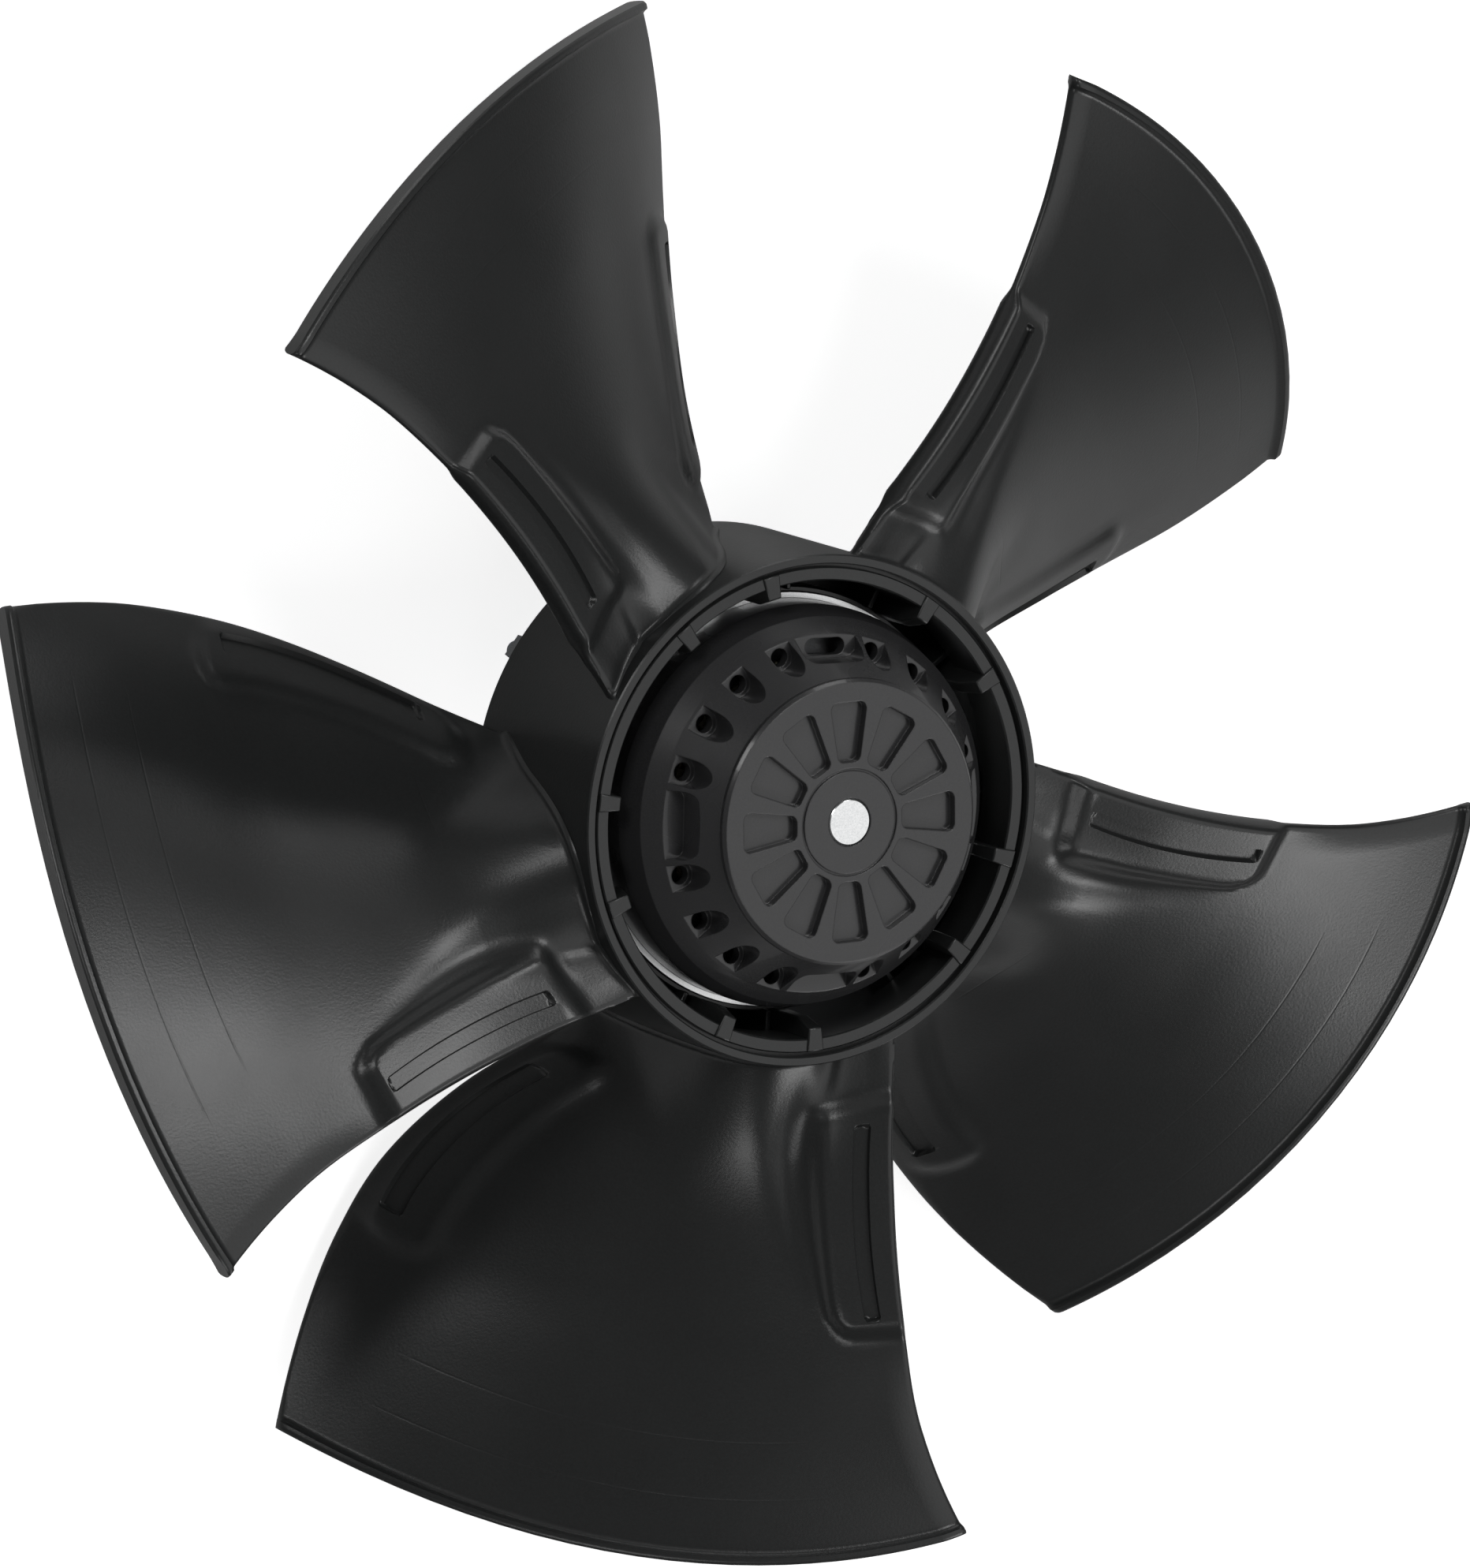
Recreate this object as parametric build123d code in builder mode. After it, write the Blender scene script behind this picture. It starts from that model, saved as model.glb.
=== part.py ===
"""Axial fan with a swept five-blade impeller on an external-rotor motor.

All sizes are in millimetres. Z runs along the fan axis, from the back face of the motor flange
(Z = 0) to the shaft end at the front. Heights named *_z are measured from that back face.
"""

from build123d import *
from math import cos, radians, sin
import os

# ---------------------------------------------------------------- driving sizes
# impeller hub
rim_z = 108.0                 # front rim of the hub above the back face of the flange
hub_radius = 74.7
hub_length = 67.0
hub_wall = 2.5
rim_width = 2.8
rim_groove_width = 1.0
rim_groove_depth = 3.0
lip_width = 3.9
lip_drop = 1.2                # the inner lip lies this much behind the rim
lip_depth = 17.5
lip_step_height = 1.6

# ties between hub and sleeve
tab_pair_count = 5
tab_pair_angles = (28.6, 54.6)
tab_outer_width = 5.4
tab_inner_width = 3.4
tab_drop = 1.0
tab_face_radius = 64.7
tab_slope_depth = 8.0
tab_depth = 28.0
sleeve_wall = 1.8
sleeve_drop = 23.0            # front edge of the sleeve below the rim
sleeve_length = 38.0
bridge_count = 4
bridge_centre_angle = 60.0
bridge_half_angle = 26.5
bridge_rib_angles = (-26.5, 0.0, 26.5)
bridge_rib_width = 1.6
bridge_rib_drop = 20.0
bridge_floor_drop = 36.0
bridge_floor_thickness = 3.0

# blades
tip_radius = 225.0
blade_count = 5
blade_axis_angle = 41.0
blade_thickness = 3.0
blade_foot_radius = 73.4      # the blades run into the hub wall down to this radius
# span, front edge (side, height), rear edge (side, height), camber; heights from the rim
blade_stations = (
    (50.0, (42.0, -5.5), (-15.5, -24.0), 14.0),
    (75.0, (47.0, -4.2), (-30.0, -56.0), 13.4),
    (100.0, (51.4, -2.8), (-46.5, -85.0), 13.0),
    (125.0, (57.7, -1.6), (-61.0, -98.0), 12.2),
    (150.0, (66.5, -1.1), (-71.5, -99.7), 11.6),
    (175.0, (78.4, -1.4), (-78.7, -96.7), 12.6),
    (200.0, (96.4, -0.5), (-83.2, -93.0), 14.0),
    (228.0, (125.0, 3.2), (-86.0, -88.0), 15.0),
)
tip_lip_width = 2.4
tip_lip_thickness = 6.4
root_bead_width = 3.0
root_bead_thickness = 7.0
pad_thickness = 7.0
pad_corner_radius = 5.0
balance_slot_width = 4.2
balance_slot_length = 57.0
balance_slot_corner = 1.2
# each pad: centre of its slot (along, across), turn, pad length and width, offset off the slot
front_pad = ((116.2, 46.2), 14.8, (70.0, 20.4), -3.0)
rear_pad = ((116.3, -48.4), -27.9, (72.0, 12.0), 2.7)

# rotor bell
cap_height = 20.7             # cap face above the rim of the hub
cap_radius = 41.7
cap_edge_chamfer = 0.9
cap_edge_height = 2.4
cap_thickness = 6.0
shoulder_height = 3.0         # outer edge of the shoulder above the rim of the hub
shoulder_radius = 53.0
bell_radius = 58.9
bulge_radius = 56.6
bulge_drop = 4.5
flank_drop = 13.0
bell_wall = 3.4
crown_flank_drop = 10.0       # inside of the crown: its flank, bulge and shoulder below the shoulder
crown_bulge_drop = 5.0
crown_bulge_wall = 3.0
crown_shoulder_wall = 1.4
bell_rear_z = 46.0
cap_wall_radius = 41.0
pocket_floor_height = 4.0
pocket_floor_thickness = 3.5
scoop_radius = 4.1
scoop_centre_radius = 48.6
scoop_pitch = 18.0
vent_hole_radius = 2.7
window_width = 20.0
window_inner_radius = 45.3
window_corner_radius = 3.0
window_count = 4
window_start_angle = 88.0
balance_opening_length = 13.0
balance_opening_width = 5.0
petal_count = 12
petal_start_angle = 0.0
petal_inner_radius = 17.4
petal_outer_radius = 35.0
petal_inner_width = 7.0
petal_outer_width = 12.4
petal_corner_radius = 2.2
petal_depth = 2.6
boss_groove_radius = 15.7
boss_groove_width = 0.7
boss_groove_depth = 0.5
boss_radius = 15.0
boss_rear_z = 98.0

# clamp ring between bell and sleeve
clamp_ring_wall = 1.6
clamp_ring_drop = 21.7
seat_clearance = 0.02         # radial clearance of parts seated on each other
air_gap = 0.4

# shaft and bearings
shaft_radius = 7.0
shaft_end_chamfer = 0.6
journal_radius = 6.0
bearing_outer_radius = 14.0
bearing_width = 8.0
bearing_ring_wall = 2.0
shield_thickness = 0.4
shield_gap = 0.3
front_bearing_z = 82.0
rear_bearing_z = 19.0
wave_spring_height = 1.5
circlip_thickness = 1.0
circlip_radius = 8.6
circlip_gap = 4.0
circlip_groove_depth = 0.6
shaft_rear_z = 14.5
seal_radius = 12.0
seal_gap = 0.4                # running gap of the seal lip over the tube end
seal_lift = 0.5

# stator
flange_radius = 57.5
flange_rear_z = 13.0
flange_front_z = 43.5
flange_wall = 3.5
spigot_radius = 50.0
back_plate_thickness = 5.0
tube_radius = 17.0
tube_front_z = 92.0
tube_foot_radius = 24.0
tube_foot_height = 14.0
bore_mouth_radius = 13.0
bearing_shoulder_radius = 12.5
bolt_circle_radius = 37.5
bolt_count = 4
bolt_start_angle = 45.0
bolt_hole_radius = 2.5
bolt_hole_depth = 11.0
bolt_boss_radius = 6.0
bolt_boss_height = 14.0
rib_count = 8
rib_width = 2.5
rib_height = 12.0
earth_lug_angle = 140.0
earth_lug_radius = 60.2
earth_lug_width = 7.0
earth_lug_height = 9.0
earth_screw_radius = 1.5
earth_screw_circle = 56.6
earth_screw_length = 7.0
earth_head_radius = 2.8
earth_head_height = 2.2
earth_washer_thickness = 0.6
cap_plug_thickness = 2.0
plug_recess = 0.5
core_rear_z = 62.0
core_length = 36.0
stator_radius = 43.6
slot_count = 24
slot_floor_radius = 26.0
slot_shoulder_radius = 40.6
slot_floor_width = 3.0
slot_top_width = 6.4
slot_mouth_width = 2.4
end_plate_thickness = 1.5
end_collar_wall = 1.5
end_collar_height = 9.0
coil_inner_radius = 22.5
coil_outer_radius = 39.5
coil_height = 11.0
coil_chamfer = 3.5
coil_slack = 0.3
wedge_inner_radius = 41.2
wedge_outer_radius = 42.6
wedge_width = 2.2

# rotor iron and cage
bar_count = 28
bar_inner_width = 3.0
bar_outer_width = 4.4
bar_inner_radius = 46.5
bar_outer_radius = 53.0
rotor_bore_radius = stator_radius + air_gap
end_ring_height = 6.0

# cable inlet
gland_angle = -20.0
gland_z = 28.0
gland_hole_radius = 4.0
gland_thread_radius = 6.0
gland_hex_width = 16.0
gland_flange_length = 4.0
gland_thread_length = 5.0
gland_inner_length = 2.0
gland_cap_length = 3.0
gland_gap = 0.8               # gap left between the gland's hexagon and its nut
gland_seal_gap = 0.5

# ---------------------------------------------------------------- worked-out sizes
hub_rear_z = rim_z - hub_length
rim_inner_radius = hub_radius - rim_width
lip_outer_radius = rim_inner_radius - rim_groove_width
lip_inner_radius = lip_outer_radius - lip_width
wall_inner_radius = hub_radius - hub_wall
clamp_inner_radius = bell_radius + seat_clearance
clamp_outer_radius = clamp_inner_radius + clamp_ring_wall
sleeve_inner_radius = clamp_outer_radius + seat_clearance
sleeve_outer_radius = sleeve_inner_radius + sleeve_wall
sleeve_front_z = rim_z - sleeve_drop
sleeve_rear_z = sleeve_front_z - sleeve_length
cap_z = rim_z + cap_height
shoulder_z = rim_z + shoulder_height
pocket_floor_z = rim_z + pocket_floor_height
cap_inner_z = cap_z - cap_thickness
pocket_ceiling_z = pocket_floor_z - pocket_floor_thickness
bell_inner_radius = bell_radius - bell_wall
core_front_z = core_rear_z + core_length
rotor_core_radius = bell_inner_radius - seat_clearance
journal_top_z = front_bearing_z + bearing_width
spring_z = rear_bearing_z + bearing_width
bearing_inner_ring_radius = journal_radius + seat_clearance + bearing_ring_wall
bearing_outer_ring_radius = bearing_outer_radius - seat_clearance - bearing_ring_wall
gland_total_length = flange_wall + gland_inner_length + gland_flange_length + gland_thread_length
bottom_aligned = (Align.CENTER, Align.CENTER, Align.MIN)
shield_bore_radius = bearing_inner_ring_radius + shield_gap


def write(part, name):
    """Label one finished piece and write it as its own STEP file."""
    part.label = name
    export_step(part, f"parts/{name}.step")


def blade_section(station, thickness):
    """Cambered section of the blade on its own plane, of even thickness across its camber line."""
    span, front, rear, camber = station
    front_point = Vector(front[0], rim_z + front[1])
    rear_point = Vector(rear[0], rim_z + rear[1])
    across = (front_point - rear_point).normalized().rotate(Axis.Z, 90)
    bend_point = (front_point + rear_point) / 2 + across * 2 * camber
    skin = across * thickness / 2
    with BuildSketch(Plane.YZ.offset(span)) as section:
        with BuildLine():
            Bezier(front_point + skin, bend_point + skin, rear_point + skin)
            Bezier(front_point - skin, bend_point - skin, rear_point - skin)
            Line(front_point + skin, front_point - skin)
            Line(rear_point + skin, rear_point - skin)
        make_face()
    return section.sketch


def blade_body(thickness):
    """One blade of even thickness on the X axis, not yet trimmed to hub and tip."""
    with BuildPart() as body:
        loft([blade_section(station, thickness) for station in blade_stations])
    return body.part


def ring_sector(inner_radius, outer_radius, centre_angle, half_angle):
    """Sketch of a sector of a flat ring."""
    reach = 2 * outer_radius
    with BuildSketch() as sector:
        Circle(outer_radius)
        Circle(inner_radius, mode=Mode.SUBTRACT)
        edges = [Vector(reach, 0).rotate(Axis.Z, centre_angle + end * half_angle) for end in (-1, 1)]
        Polygon((0, 0), *edges, align=None, mode=Mode.INTERSECT)
    return sector.sketch


def ring_between(inner_radius, outer_radius, low_z, high_z):
    """A plain ring about the fan axis."""
    with BuildPart() as ring:
        with BuildSketch(Plane.XY.offset(low_z)):
            Circle(outer_radius)
            Circle(inner_radius, mode=Mode.SUBTRACT)
        extrude(amount=high_z - low_z)
    return ring.part


def pad_outline(centre, turn, size, corner_radius, shift=0.0):
    """An upright prism, taller than any blade, with the rounded outline of a pad or a slot."""
    with BuildPart() as prism:
        with BuildSketch():
            with Locations(Location((*centre, 0), (0, 0, turn))):
                with Locations((0, shift)):
                    RectangleRounded(*size, corner_radius)
        extrude(amount=blade_headroom)
    return prism.part


os.makedirs("parts", exist_ok=True)

# ---------------------------------------------------------------- impeller
blade_headroom = rim_z + 30.0
slot_size = (balance_slot_length, balance_slot_width)
lip_ring = ring_between(tip_radius - tip_lip_width, tip_radius, 0, blade_headroom)
blade_ring = ring_between(blade_foot_radius, tip_radius, 0, blade_headroom)
bead_ring = ring_between(blade_foot_radius, hub_radius + root_bead_width, 0, blade_headroom)
pad_blade = blade_body(pad_thickness)

with BuildPart() as blade:
    add(blade_body(blade_thickness) & blade_ring)
    add(blade_body(tip_lip_thickness) & lip_ring)
    add(blade_body(root_bead_thickness) & bead_ring)
    for slot_centre, turn, pad_size, pad_shift in (front_pad, rear_pad):
        pad_prism = pad_outline(slot_centre, turn, pad_size, pad_corner_radius, pad_shift)
        slot_prism = pad_outline(slot_centre, turn, slot_size, balance_slot_corner)
        add(pad_blade & (pad_prism - slot_prism))

tab_angles = [
    pair * 360 / tab_pair_count + angle for pair in range(tab_pair_count) for angle in tab_pair_angles
]
bridge_angles = [
    bridge_centre_angle + bridge * 360 / bridge_count for bridge in range(bridge_count)
]

with BuildPart() as impeller:
    # tabs: tapered webs whose front ends slope down to the sleeve
    with BuildSketch(Plane.XY.offset(rim_z - tab_depth)):
        for tab_angle in tab_angles:
            with PolarLocations(0, 1, start_angle=tab_angle):
                Polygon(
                    (sleeve_inner_radius + 1, -tab_inner_width / 2),
                    (wall_inner_radius + 1, -tab_outer_width / 2),
                    (wall_inner_radius + 1, tab_outer_width / 2),
                    (sleeve_inner_radius + 1, tab_inner_width / 2),
                    align=None,
                )
    extrude(amount=tab_depth - tab_drop)
    with BuildSketch(Plane.XZ):
        with BuildLine():
            Polyline(
                (sleeve_inner_radius, rim_z),
                (tab_face_radius, rim_z),
                (tab_face_radius, rim_z - tab_drop),
                (sleeve_outer_radius - 0.5, rim_z - tab_slope_depth),
                (sleeve_outer_radius - 0.5, sleeve_front_z),
                (sleeve_inner_radius, sleeve_front_z),
                close=True,
            )
        make_face()
    revolve(axis=Axis.Z, mode=Mode.SUBTRACT)
    # box bridges: a floor with radial ribs on it
    for bridge_angle in bridge_angles:
        with BuildSketch(Plane.XY.offset(rim_z - bridge_floor_drop - bridge_floor_thickness)):
            add(ring_sector(sleeve_inner_radius + 1, wall_inner_radius + 1, bridge_angle, bridge_half_angle))
        extrude(amount=bridge_floor_thickness)
        with BuildSketch(Plane.XY.offset(rim_z - bridge_floor_drop - bridge_floor_thickness)):
            for rib_angle in bridge_rib_angles:
                with PolarLocations(0, 1, start_angle=bridge_angle + rib_angle):
                    with Locations(((sleeve_inner_radius + wall_inner_radius) / 2 + 1, 0)):
                        Rectangle(wall_inner_radius - sleeve_inner_radius, bridge_rib_width)
        extrude(amount=bridge_floor_drop + bridge_floor_thickness - bridge_rib_drop)
    # hub wall with its stepped front lip and groove, and the sleeve round the clamp ring
    with BuildSketch(Plane.XZ):
        with BuildLine():
            Polyline(
                (wall_inner_radius, hub_rear_z),
                (hub_radius, hub_rear_z),
                (hub_radius, rim_z),
                (rim_inner_radius, rim_z),
                (rim_inner_radius, rim_z - rim_groove_depth),
                (lip_outer_radius, rim_z - rim_groove_depth),
                (lip_outer_radius, rim_z - lip_drop),
                (lip_inner_radius, rim_z - lip_drop),
                (lip_inner_radius, rim_z - lip_depth),
                (wall_inner_radius, rim_z - lip_depth - lip_step_height),
                close=True,
            )
        make_face()
    revolve(axis=Axis.Z)
    with BuildSketch(Plane.XY.offset(sleeve_rear_z)):
        Circle(sleeve_outer_radius)
        Circle(sleeve_inner_radius, mode=Mode.SUBTRACT)
    extrude(amount=sleeve_length)
    with PolarLocations(0, blade_count, start_angle=blade_axis_angle):
        add(blade.part)
write(impeller.part, "impeller")

# ---------------------------------------------------------------- rotor bell
with BuildPart() as rotor_bell:
    with BuildSketch(Plane.XZ):
        with BuildLine():
            Polyline(
                (0, cap_z),
                (cap_radius - cap_edge_chamfer, cap_z),
                (cap_radius, cap_z - cap_edge_chamfer),
                (cap_radius, cap_z - cap_edge_height),
                (shoulder_radius, shoulder_z),
                (bulge_radius, shoulder_z - bulge_drop),
                (bell_radius, shoulder_z - flank_drop),
                (bell_radius, bell_rear_z),
                (bell_inner_radius, bell_rear_z),
                (bell_inner_radius, shoulder_z - crown_flank_drop),
                (bulge_radius - crown_bulge_wall, shoulder_z - crown_bulge_drop),
                (shoulder_radius - crown_shoulder_wall, pocket_ceiling_z),
                (cap_wall_radius, pocket_ceiling_z),
                (cap_wall_radius, cap_inner_z - 2),
                (cap_wall_radius - 3, cap_inner_z),
                (boss_radius, cap_inner_z),
                (boss_radius, boss_rear_z),
                (0, boss_rear_z),
                close=True,
            )
        make_face()
    revolve(axis=Axis.Z)
    # vent scoops between the windows, each with its vent hole
    scoops_per_quarter = round(90 / scoop_pitch) - 1
    for window in range(window_count):
        window_angle = window_start_angle + window * 360 / window_count
        for scoop in range(scoops_per_quarter):
            scoop_angle = window_angle + (scoop + 1) * scoop_pitch
            with BuildSketch(Plane.XY.offset(pocket_floor_z)):
                with PolarLocations(0, 1, start_angle=scoop_angle):
                    with Locations((scoop_centre_radius, 0)):
                        Circle(scoop_radius)
                    with Locations((scoop_centre_radius + bell_radius / 2, 0)):
                        Rectangle(bell_radius, 2 * scoop_radius)
            extrude(amount=cap_height, mode=Mode.SUBTRACT)
            with BuildSketch(Plane.XY.offset(pocket_floor_z)):
                with PolarLocations(0, 1, start_angle=scoop_angle):
                    with Locations((scoop_centre_radius, 0)):
                        Circle(vent_hole_radius)
            extrude(amount=-pocket_floor_thickness, mode=Mode.SUBTRACT)
        with BuildSketch(Plane.XY.offset(pocket_floor_z)):
            with PolarLocations(0, 1, start_angle=window_angle):
                with Locations((window_inner_radius + bell_radius / 2, 0)):
                    RectangleRounded(bell_radius, window_width, window_corner_radius)
        extrude(amount=cap_height, mode=Mode.SUBTRACT)
    # oblong opening in the floor of the first window
    with BuildSketch(Plane.XY.offset(pocket_floor_z)):
        with PolarLocations(0, 1, start_angle=window_start_angle):
            with Locations((scoop_centre_radius, 0)):
                SlotOverall(balance_opening_length, balance_opening_width, rotation=90)
    extrude(amount=-pocket_floor_thickness, mode=Mode.SUBTRACT)
    # ring of petal recesses in the cap
    with BuildSketch(Plane.XY.offset(cap_z)) as petals:
        with PolarLocations(0, petal_count, start_angle=petal_start_angle):
            Polygon(
                (petal_inner_radius, -petal_inner_width / 2),
                (petal_outer_radius, -petal_outer_width / 2),
                (petal_outer_radius, petal_outer_width / 2),
                (petal_inner_radius, petal_inner_width / 2),
                align=None,
            )
        fillet(petals.vertices(), petal_corner_radius)
    extrude(amount=-petal_depth, mode=Mode.SUBTRACT)
    # fine ring groove and shaft bore in the boss
    with BuildSketch(Plane.XY.offset(cap_z)):
        Circle(boss_groove_radius)
        Circle(boss_groove_radius - boss_groove_width, mode=Mode.SUBTRACT)
    extrude(amount=-boss_groove_depth, mode=Mode.SUBTRACT)
    with Locations((0, 0, cap_z)):
        Hole(shaft_radius + seat_clearance)
write(rotor_bell.part, "rotor_bell")

# ---------------------------------------------------------------- clamp ring
with BuildPart() as clamp_ring:
    with BuildSketch(Plane.XY.offset(sleeve_rear_z)):
        Circle(clamp_outer_radius)
        Circle(clamp_inner_radius, mode=Mode.SUBTRACT)
    extrude(amount=rim_z - clamp_ring_drop - sleeve_rear_z)
write(clamp_ring.part, "clamp_ring")

# ---------------------------------------------------------------- rotor iron and cage
with BuildSketch() as rotor_bars:
    with PolarLocations(0, bar_count):
        Polygon(
            (bar_inner_radius, -bar_inner_width / 2),
            (bar_outer_radius, -bar_outer_width / 2),
            (bar_outer_radius, bar_outer_width / 2),
            (bar_inner_radius, bar_inner_width / 2),
            align=None,
        )

with BuildPart() as rotor_core:
    with BuildSketch(Plane.XY.offset(core_rear_z)):
        Circle(rotor_core_radius)
        Circle(rotor_bore_radius, mode=Mode.SUBTRACT)
        add(rotor_bars.sketch, mode=Mode.SUBTRACT)
    extrude(amount=core_length)
write(rotor_core.part, "rotor_core")

with BuildPart() as rotor_cage:
    with BuildSketch(Plane.XY.offset(core_rear_z)):
        add(rotor_bars.sketch)
    extrude(amount=core_length)
    for end_ring_z in (core_rear_z - end_ring_height, core_front_z):
        with BuildSketch(Plane.XY.offset(end_ring_z)):
            Circle(bar_outer_radius + 1)
            Circle(bar_inner_radius - 1, mode=Mode.SUBTRACT)
        extrude(amount=end_ring_height)
write(rotor_cage.part, "rotor_cage")

# ---------------------------------------------------------------- shaft
with BuildPart() as shaft:
    with BuildSketch(Plane.XZ):
        with BuildLine():
            Polyline(
                (0, cap_z),
                (shaft_radius - shaft_end_chamfer, cap_z),
                (shaft_radius, cap_z - shaft_end_chamfer),
                (shaft_radius, journal_top_z),
                (journal_radius, journal_top_z),
                (journal_radius, rear_bearing_z),
                (journal_radius - circlip_groove_depth, rear_bearing_z),
                (journal_radius - circlip_groove_depth, rear_bearing_z - circlip_thickness),
                (journal_radius, rear_bearing_z - circlip_thickness),
                (journal_radius, shaft_rear_z + shaft_end_chamfer),
                (journal_radius - shaft_end_chamfer, shaft_rear_z),
                (0, shaft_rear_z),
                close=True,
            )
        make_face()
    revolve(axis=Axis.Z)
write(shaft.part, "shaft")

# circlip in the shaft groove, open at one side
with BuildPart() as shaft_circlip:
    with BuildSketch(Plane.XY.offset(rear_bearing_z - circlip_thickness)):
        Circle(circlip_radius)
        Circle(journal_radius - circlip_groove_depth + seat_clearance, mode=Mode.SUBTRACT)
        with Locations((circlip_radius, 0)):
            Rectangle(circlip_radius, circlip_gap, mode=Mode.SUBTRACT)
    extrude(amount=circlip_thickness)
write(shaft_circlip.part, "shaft_circlip")

# ---------------------------------------------------------------- bearings
for bearing_name, bearing_z in (("front", front_bearing_z), ("rear", rear_bearing_z)):
    with BuildPart() as inner_ring:
        with BuildSketch(Plane.XY.offset(bearing_z)):
            Circle(bearing_inner_ring_radius)
            Circle(journal_radius + seat_clearance, mode=Mode.SUBTRACT)
        extrude(amount=bearing_width)
    write(inner_ring.part, f"{bearing_name}_bearing_inner_ring")
    # the outer ring carries a shield at each side, with a running gap round the inner ring
    with BuildPart() as outer_ring:
        with BuildSketch(Plane.XZ):
            with BuildLine():
                Polyline(
                    (shield_bore_radius, bearing_z),
                    (bearing_outer_radius - seat_clearance, bearing_z),
                    (bearing_outer_radius - seat_clearance, bearing_z + bearing_width),
                    (shield_bore_radius, bearing_z + bearing_width),
                    (shield_bore_radius, bearing_z + bearing_width - shield_thickness),
                    (bearing_outer_ring_radius, bearing_z + bearing_width - shield_thickness),
                    (bearing_outer_ring_radius, bearing_z + shield_thickness),
                    (shield_bore_radius, bearing_z + shield_thickness),
                    close=True,
                )
            make_face()
        revolve(axis=Axis.Z)
    write(outer_ring.part, f"{bearing_name}_bearing_outer_ring")

with BuildPart() as wave_spring:
    with BuildSketch(Plane.XY.offset(spring_z)):
        Circle(bearing_outer_radius - 2 * seat_clearance)
        Circle(bearing_shoulder_radius - 1, mode=Mode.SUBTRACT)
    extrude(amount=wave_spring_height)
write(wave_spring.part, "wave_spring")

# rubber lip seal on the shaft above the tube
with BuildPart() as dust_seal:
    with BuildSketch(Plane.XZ):
        with BuildLine():
            Polyline(
                (shaft_radius + seat_clearance, journal_top_z + seal_lift),
                (seal_radius, tube_front_z + seal_gap),
                (seal_radius, tube_front_z + seal_gap + 0.8),
                (shaft_radius + 2.5, tube_front_z + seal_gap + 1.6),
                (shaft_radius + 2.5, boss_rear_z - seal_gap),
                (shaft_radius + seat_clearance, boss_rear_z - seal_gap),
                close=True,
            )
        make_face()
    revolve(axis=Axis.Z)
write(dust_seal.part, "dust_seal")

# ---------------------------------------------------------------- motor flange
gland_direction = Vector(1, 0).rotate(Axis.Z, gland_angle)
gland_plane = Plane(
    origin=(gland_direction.X * flange_radius, gland_direction.Y * flange_radius, gland_z),
    z_dir=(gland_direction.X, gland_direction.Y, 0),
)
earth_direction = Vector(1, 0).rotate(Axis.Z, earth_lug_angle)

with BuildPart() as motor_flange:
    with BuildSketch(Plane.XZ):
        with BuildLine():
            Polyline(
                (bore_mouth_radius, 0),
                (spigot_radius, 0),
                (spigot_radius, flange_rear_z),
                (flange_radius, flange_rear_z),
                (flange_radius, flange_front_z),
                (flange_radius - flange_wall, flange_front_z),
                (flange_radius - flange_wall, flange_rear_z + flange_wall),
                (spigot_radius - flange_wall, flange_rear_z + flange_wall),
                (spigot_radius - flange_wall, back_plate_thickness),
                (tube_foot_radius, back_plate_thickness),
                (tube_radius, tube_foot_height),
                (tube_radius, tube_front_z),
                (bearing_outer_radius, tube_front_z),
                (bearing_outer_radius, front_bearing_z),
                (bearing_shoulder_radius, front_bearing_z),
                (bearing_shoulder_radius, spring_z + wave_spring_height),
                (bearing_outer_radius, spring_z + wave_spring_height),
                (bearing_outer_radius, cap_plug_thickness + plug_recess),
                (bore_mouth_radius, cap_plug_thickness + plug_recess),
                close=True,
            )
        make_face()
    revolve(axis=Axis.Z)
    # bosses for the four mounting screws, ribs between them and the foot of the tube
    with BuildSketch(Plane.XY.offset(back_plate_thickness)):
        with PolarLocations(bolt_circle_radius, bolt_count, start_angle=bolt_start_angle):
            Circle(bolt_boss_radius)
    extrude(amount=bolt_boss_height - back_plate_thickness)
    with BuildSketch(Plane.XY.offset(back_plate_thickness)):
        with PolarLocations((tube_radius + spigot_radius) / 2 - 1, rib_count):
            Rectangle(spigot_radius - tube_radius - flange_wall, rib_width)
    extrude(amount=rib_height - back_plate_thickness)
    # lug for the earth screw on the outside of the wall
    with BuildSketch(Plane.XY.offset(flange_rear_z)):
        with PolarLocations(0, 1, start_angle=earth_lug_angle):
            with Locations(((flange_radius - flange_wall + earth_lug_radius) / 2, 0)):
                Rectangle(earth_lug_radius - flange_radius + flange_wall, earth_lug_width)
    extrude(amount=earth_lug_height)
    with BuildSketch():
        with PolarLocations(bolt_circle_radius, bolt_count, start_angle=bolt_start_angle):
            Circle(bolt_hole_radius)
    extrude(amount=bolt_hole_depth, mode=Mode.SUBTRACT)
    with BuildSketch(Plane.XY.offset(flange_rear_z)):
        with PolarLocations(earth_screw_circle, 1, start_angle=earth_lug_angle):
            Circle(earth_screw_radius)
    extrude(amount=earth_screw_length, mode=Mode.SUBTRACT)
    # hole for the cable gland
    with BuildSketch(gland_plane):
        Circle(gland_thread_radius + seat_clearance)
    extrude(amount=-2 * flange_wall, mode=Mode.SUBTRACT)
write(motor_flange.part, "motor_flange")

# cover pressed into the rear bore
with BuildPart() as bore_cover:
    with BuildSketch(Plane.XY.offset(plug_recess)):
        Circle(bore_mouth_radius - seat_clearance)
    extrude(amount=cap_plug_thickness)
write(bore_cover.part, "bore_cover")

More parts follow.
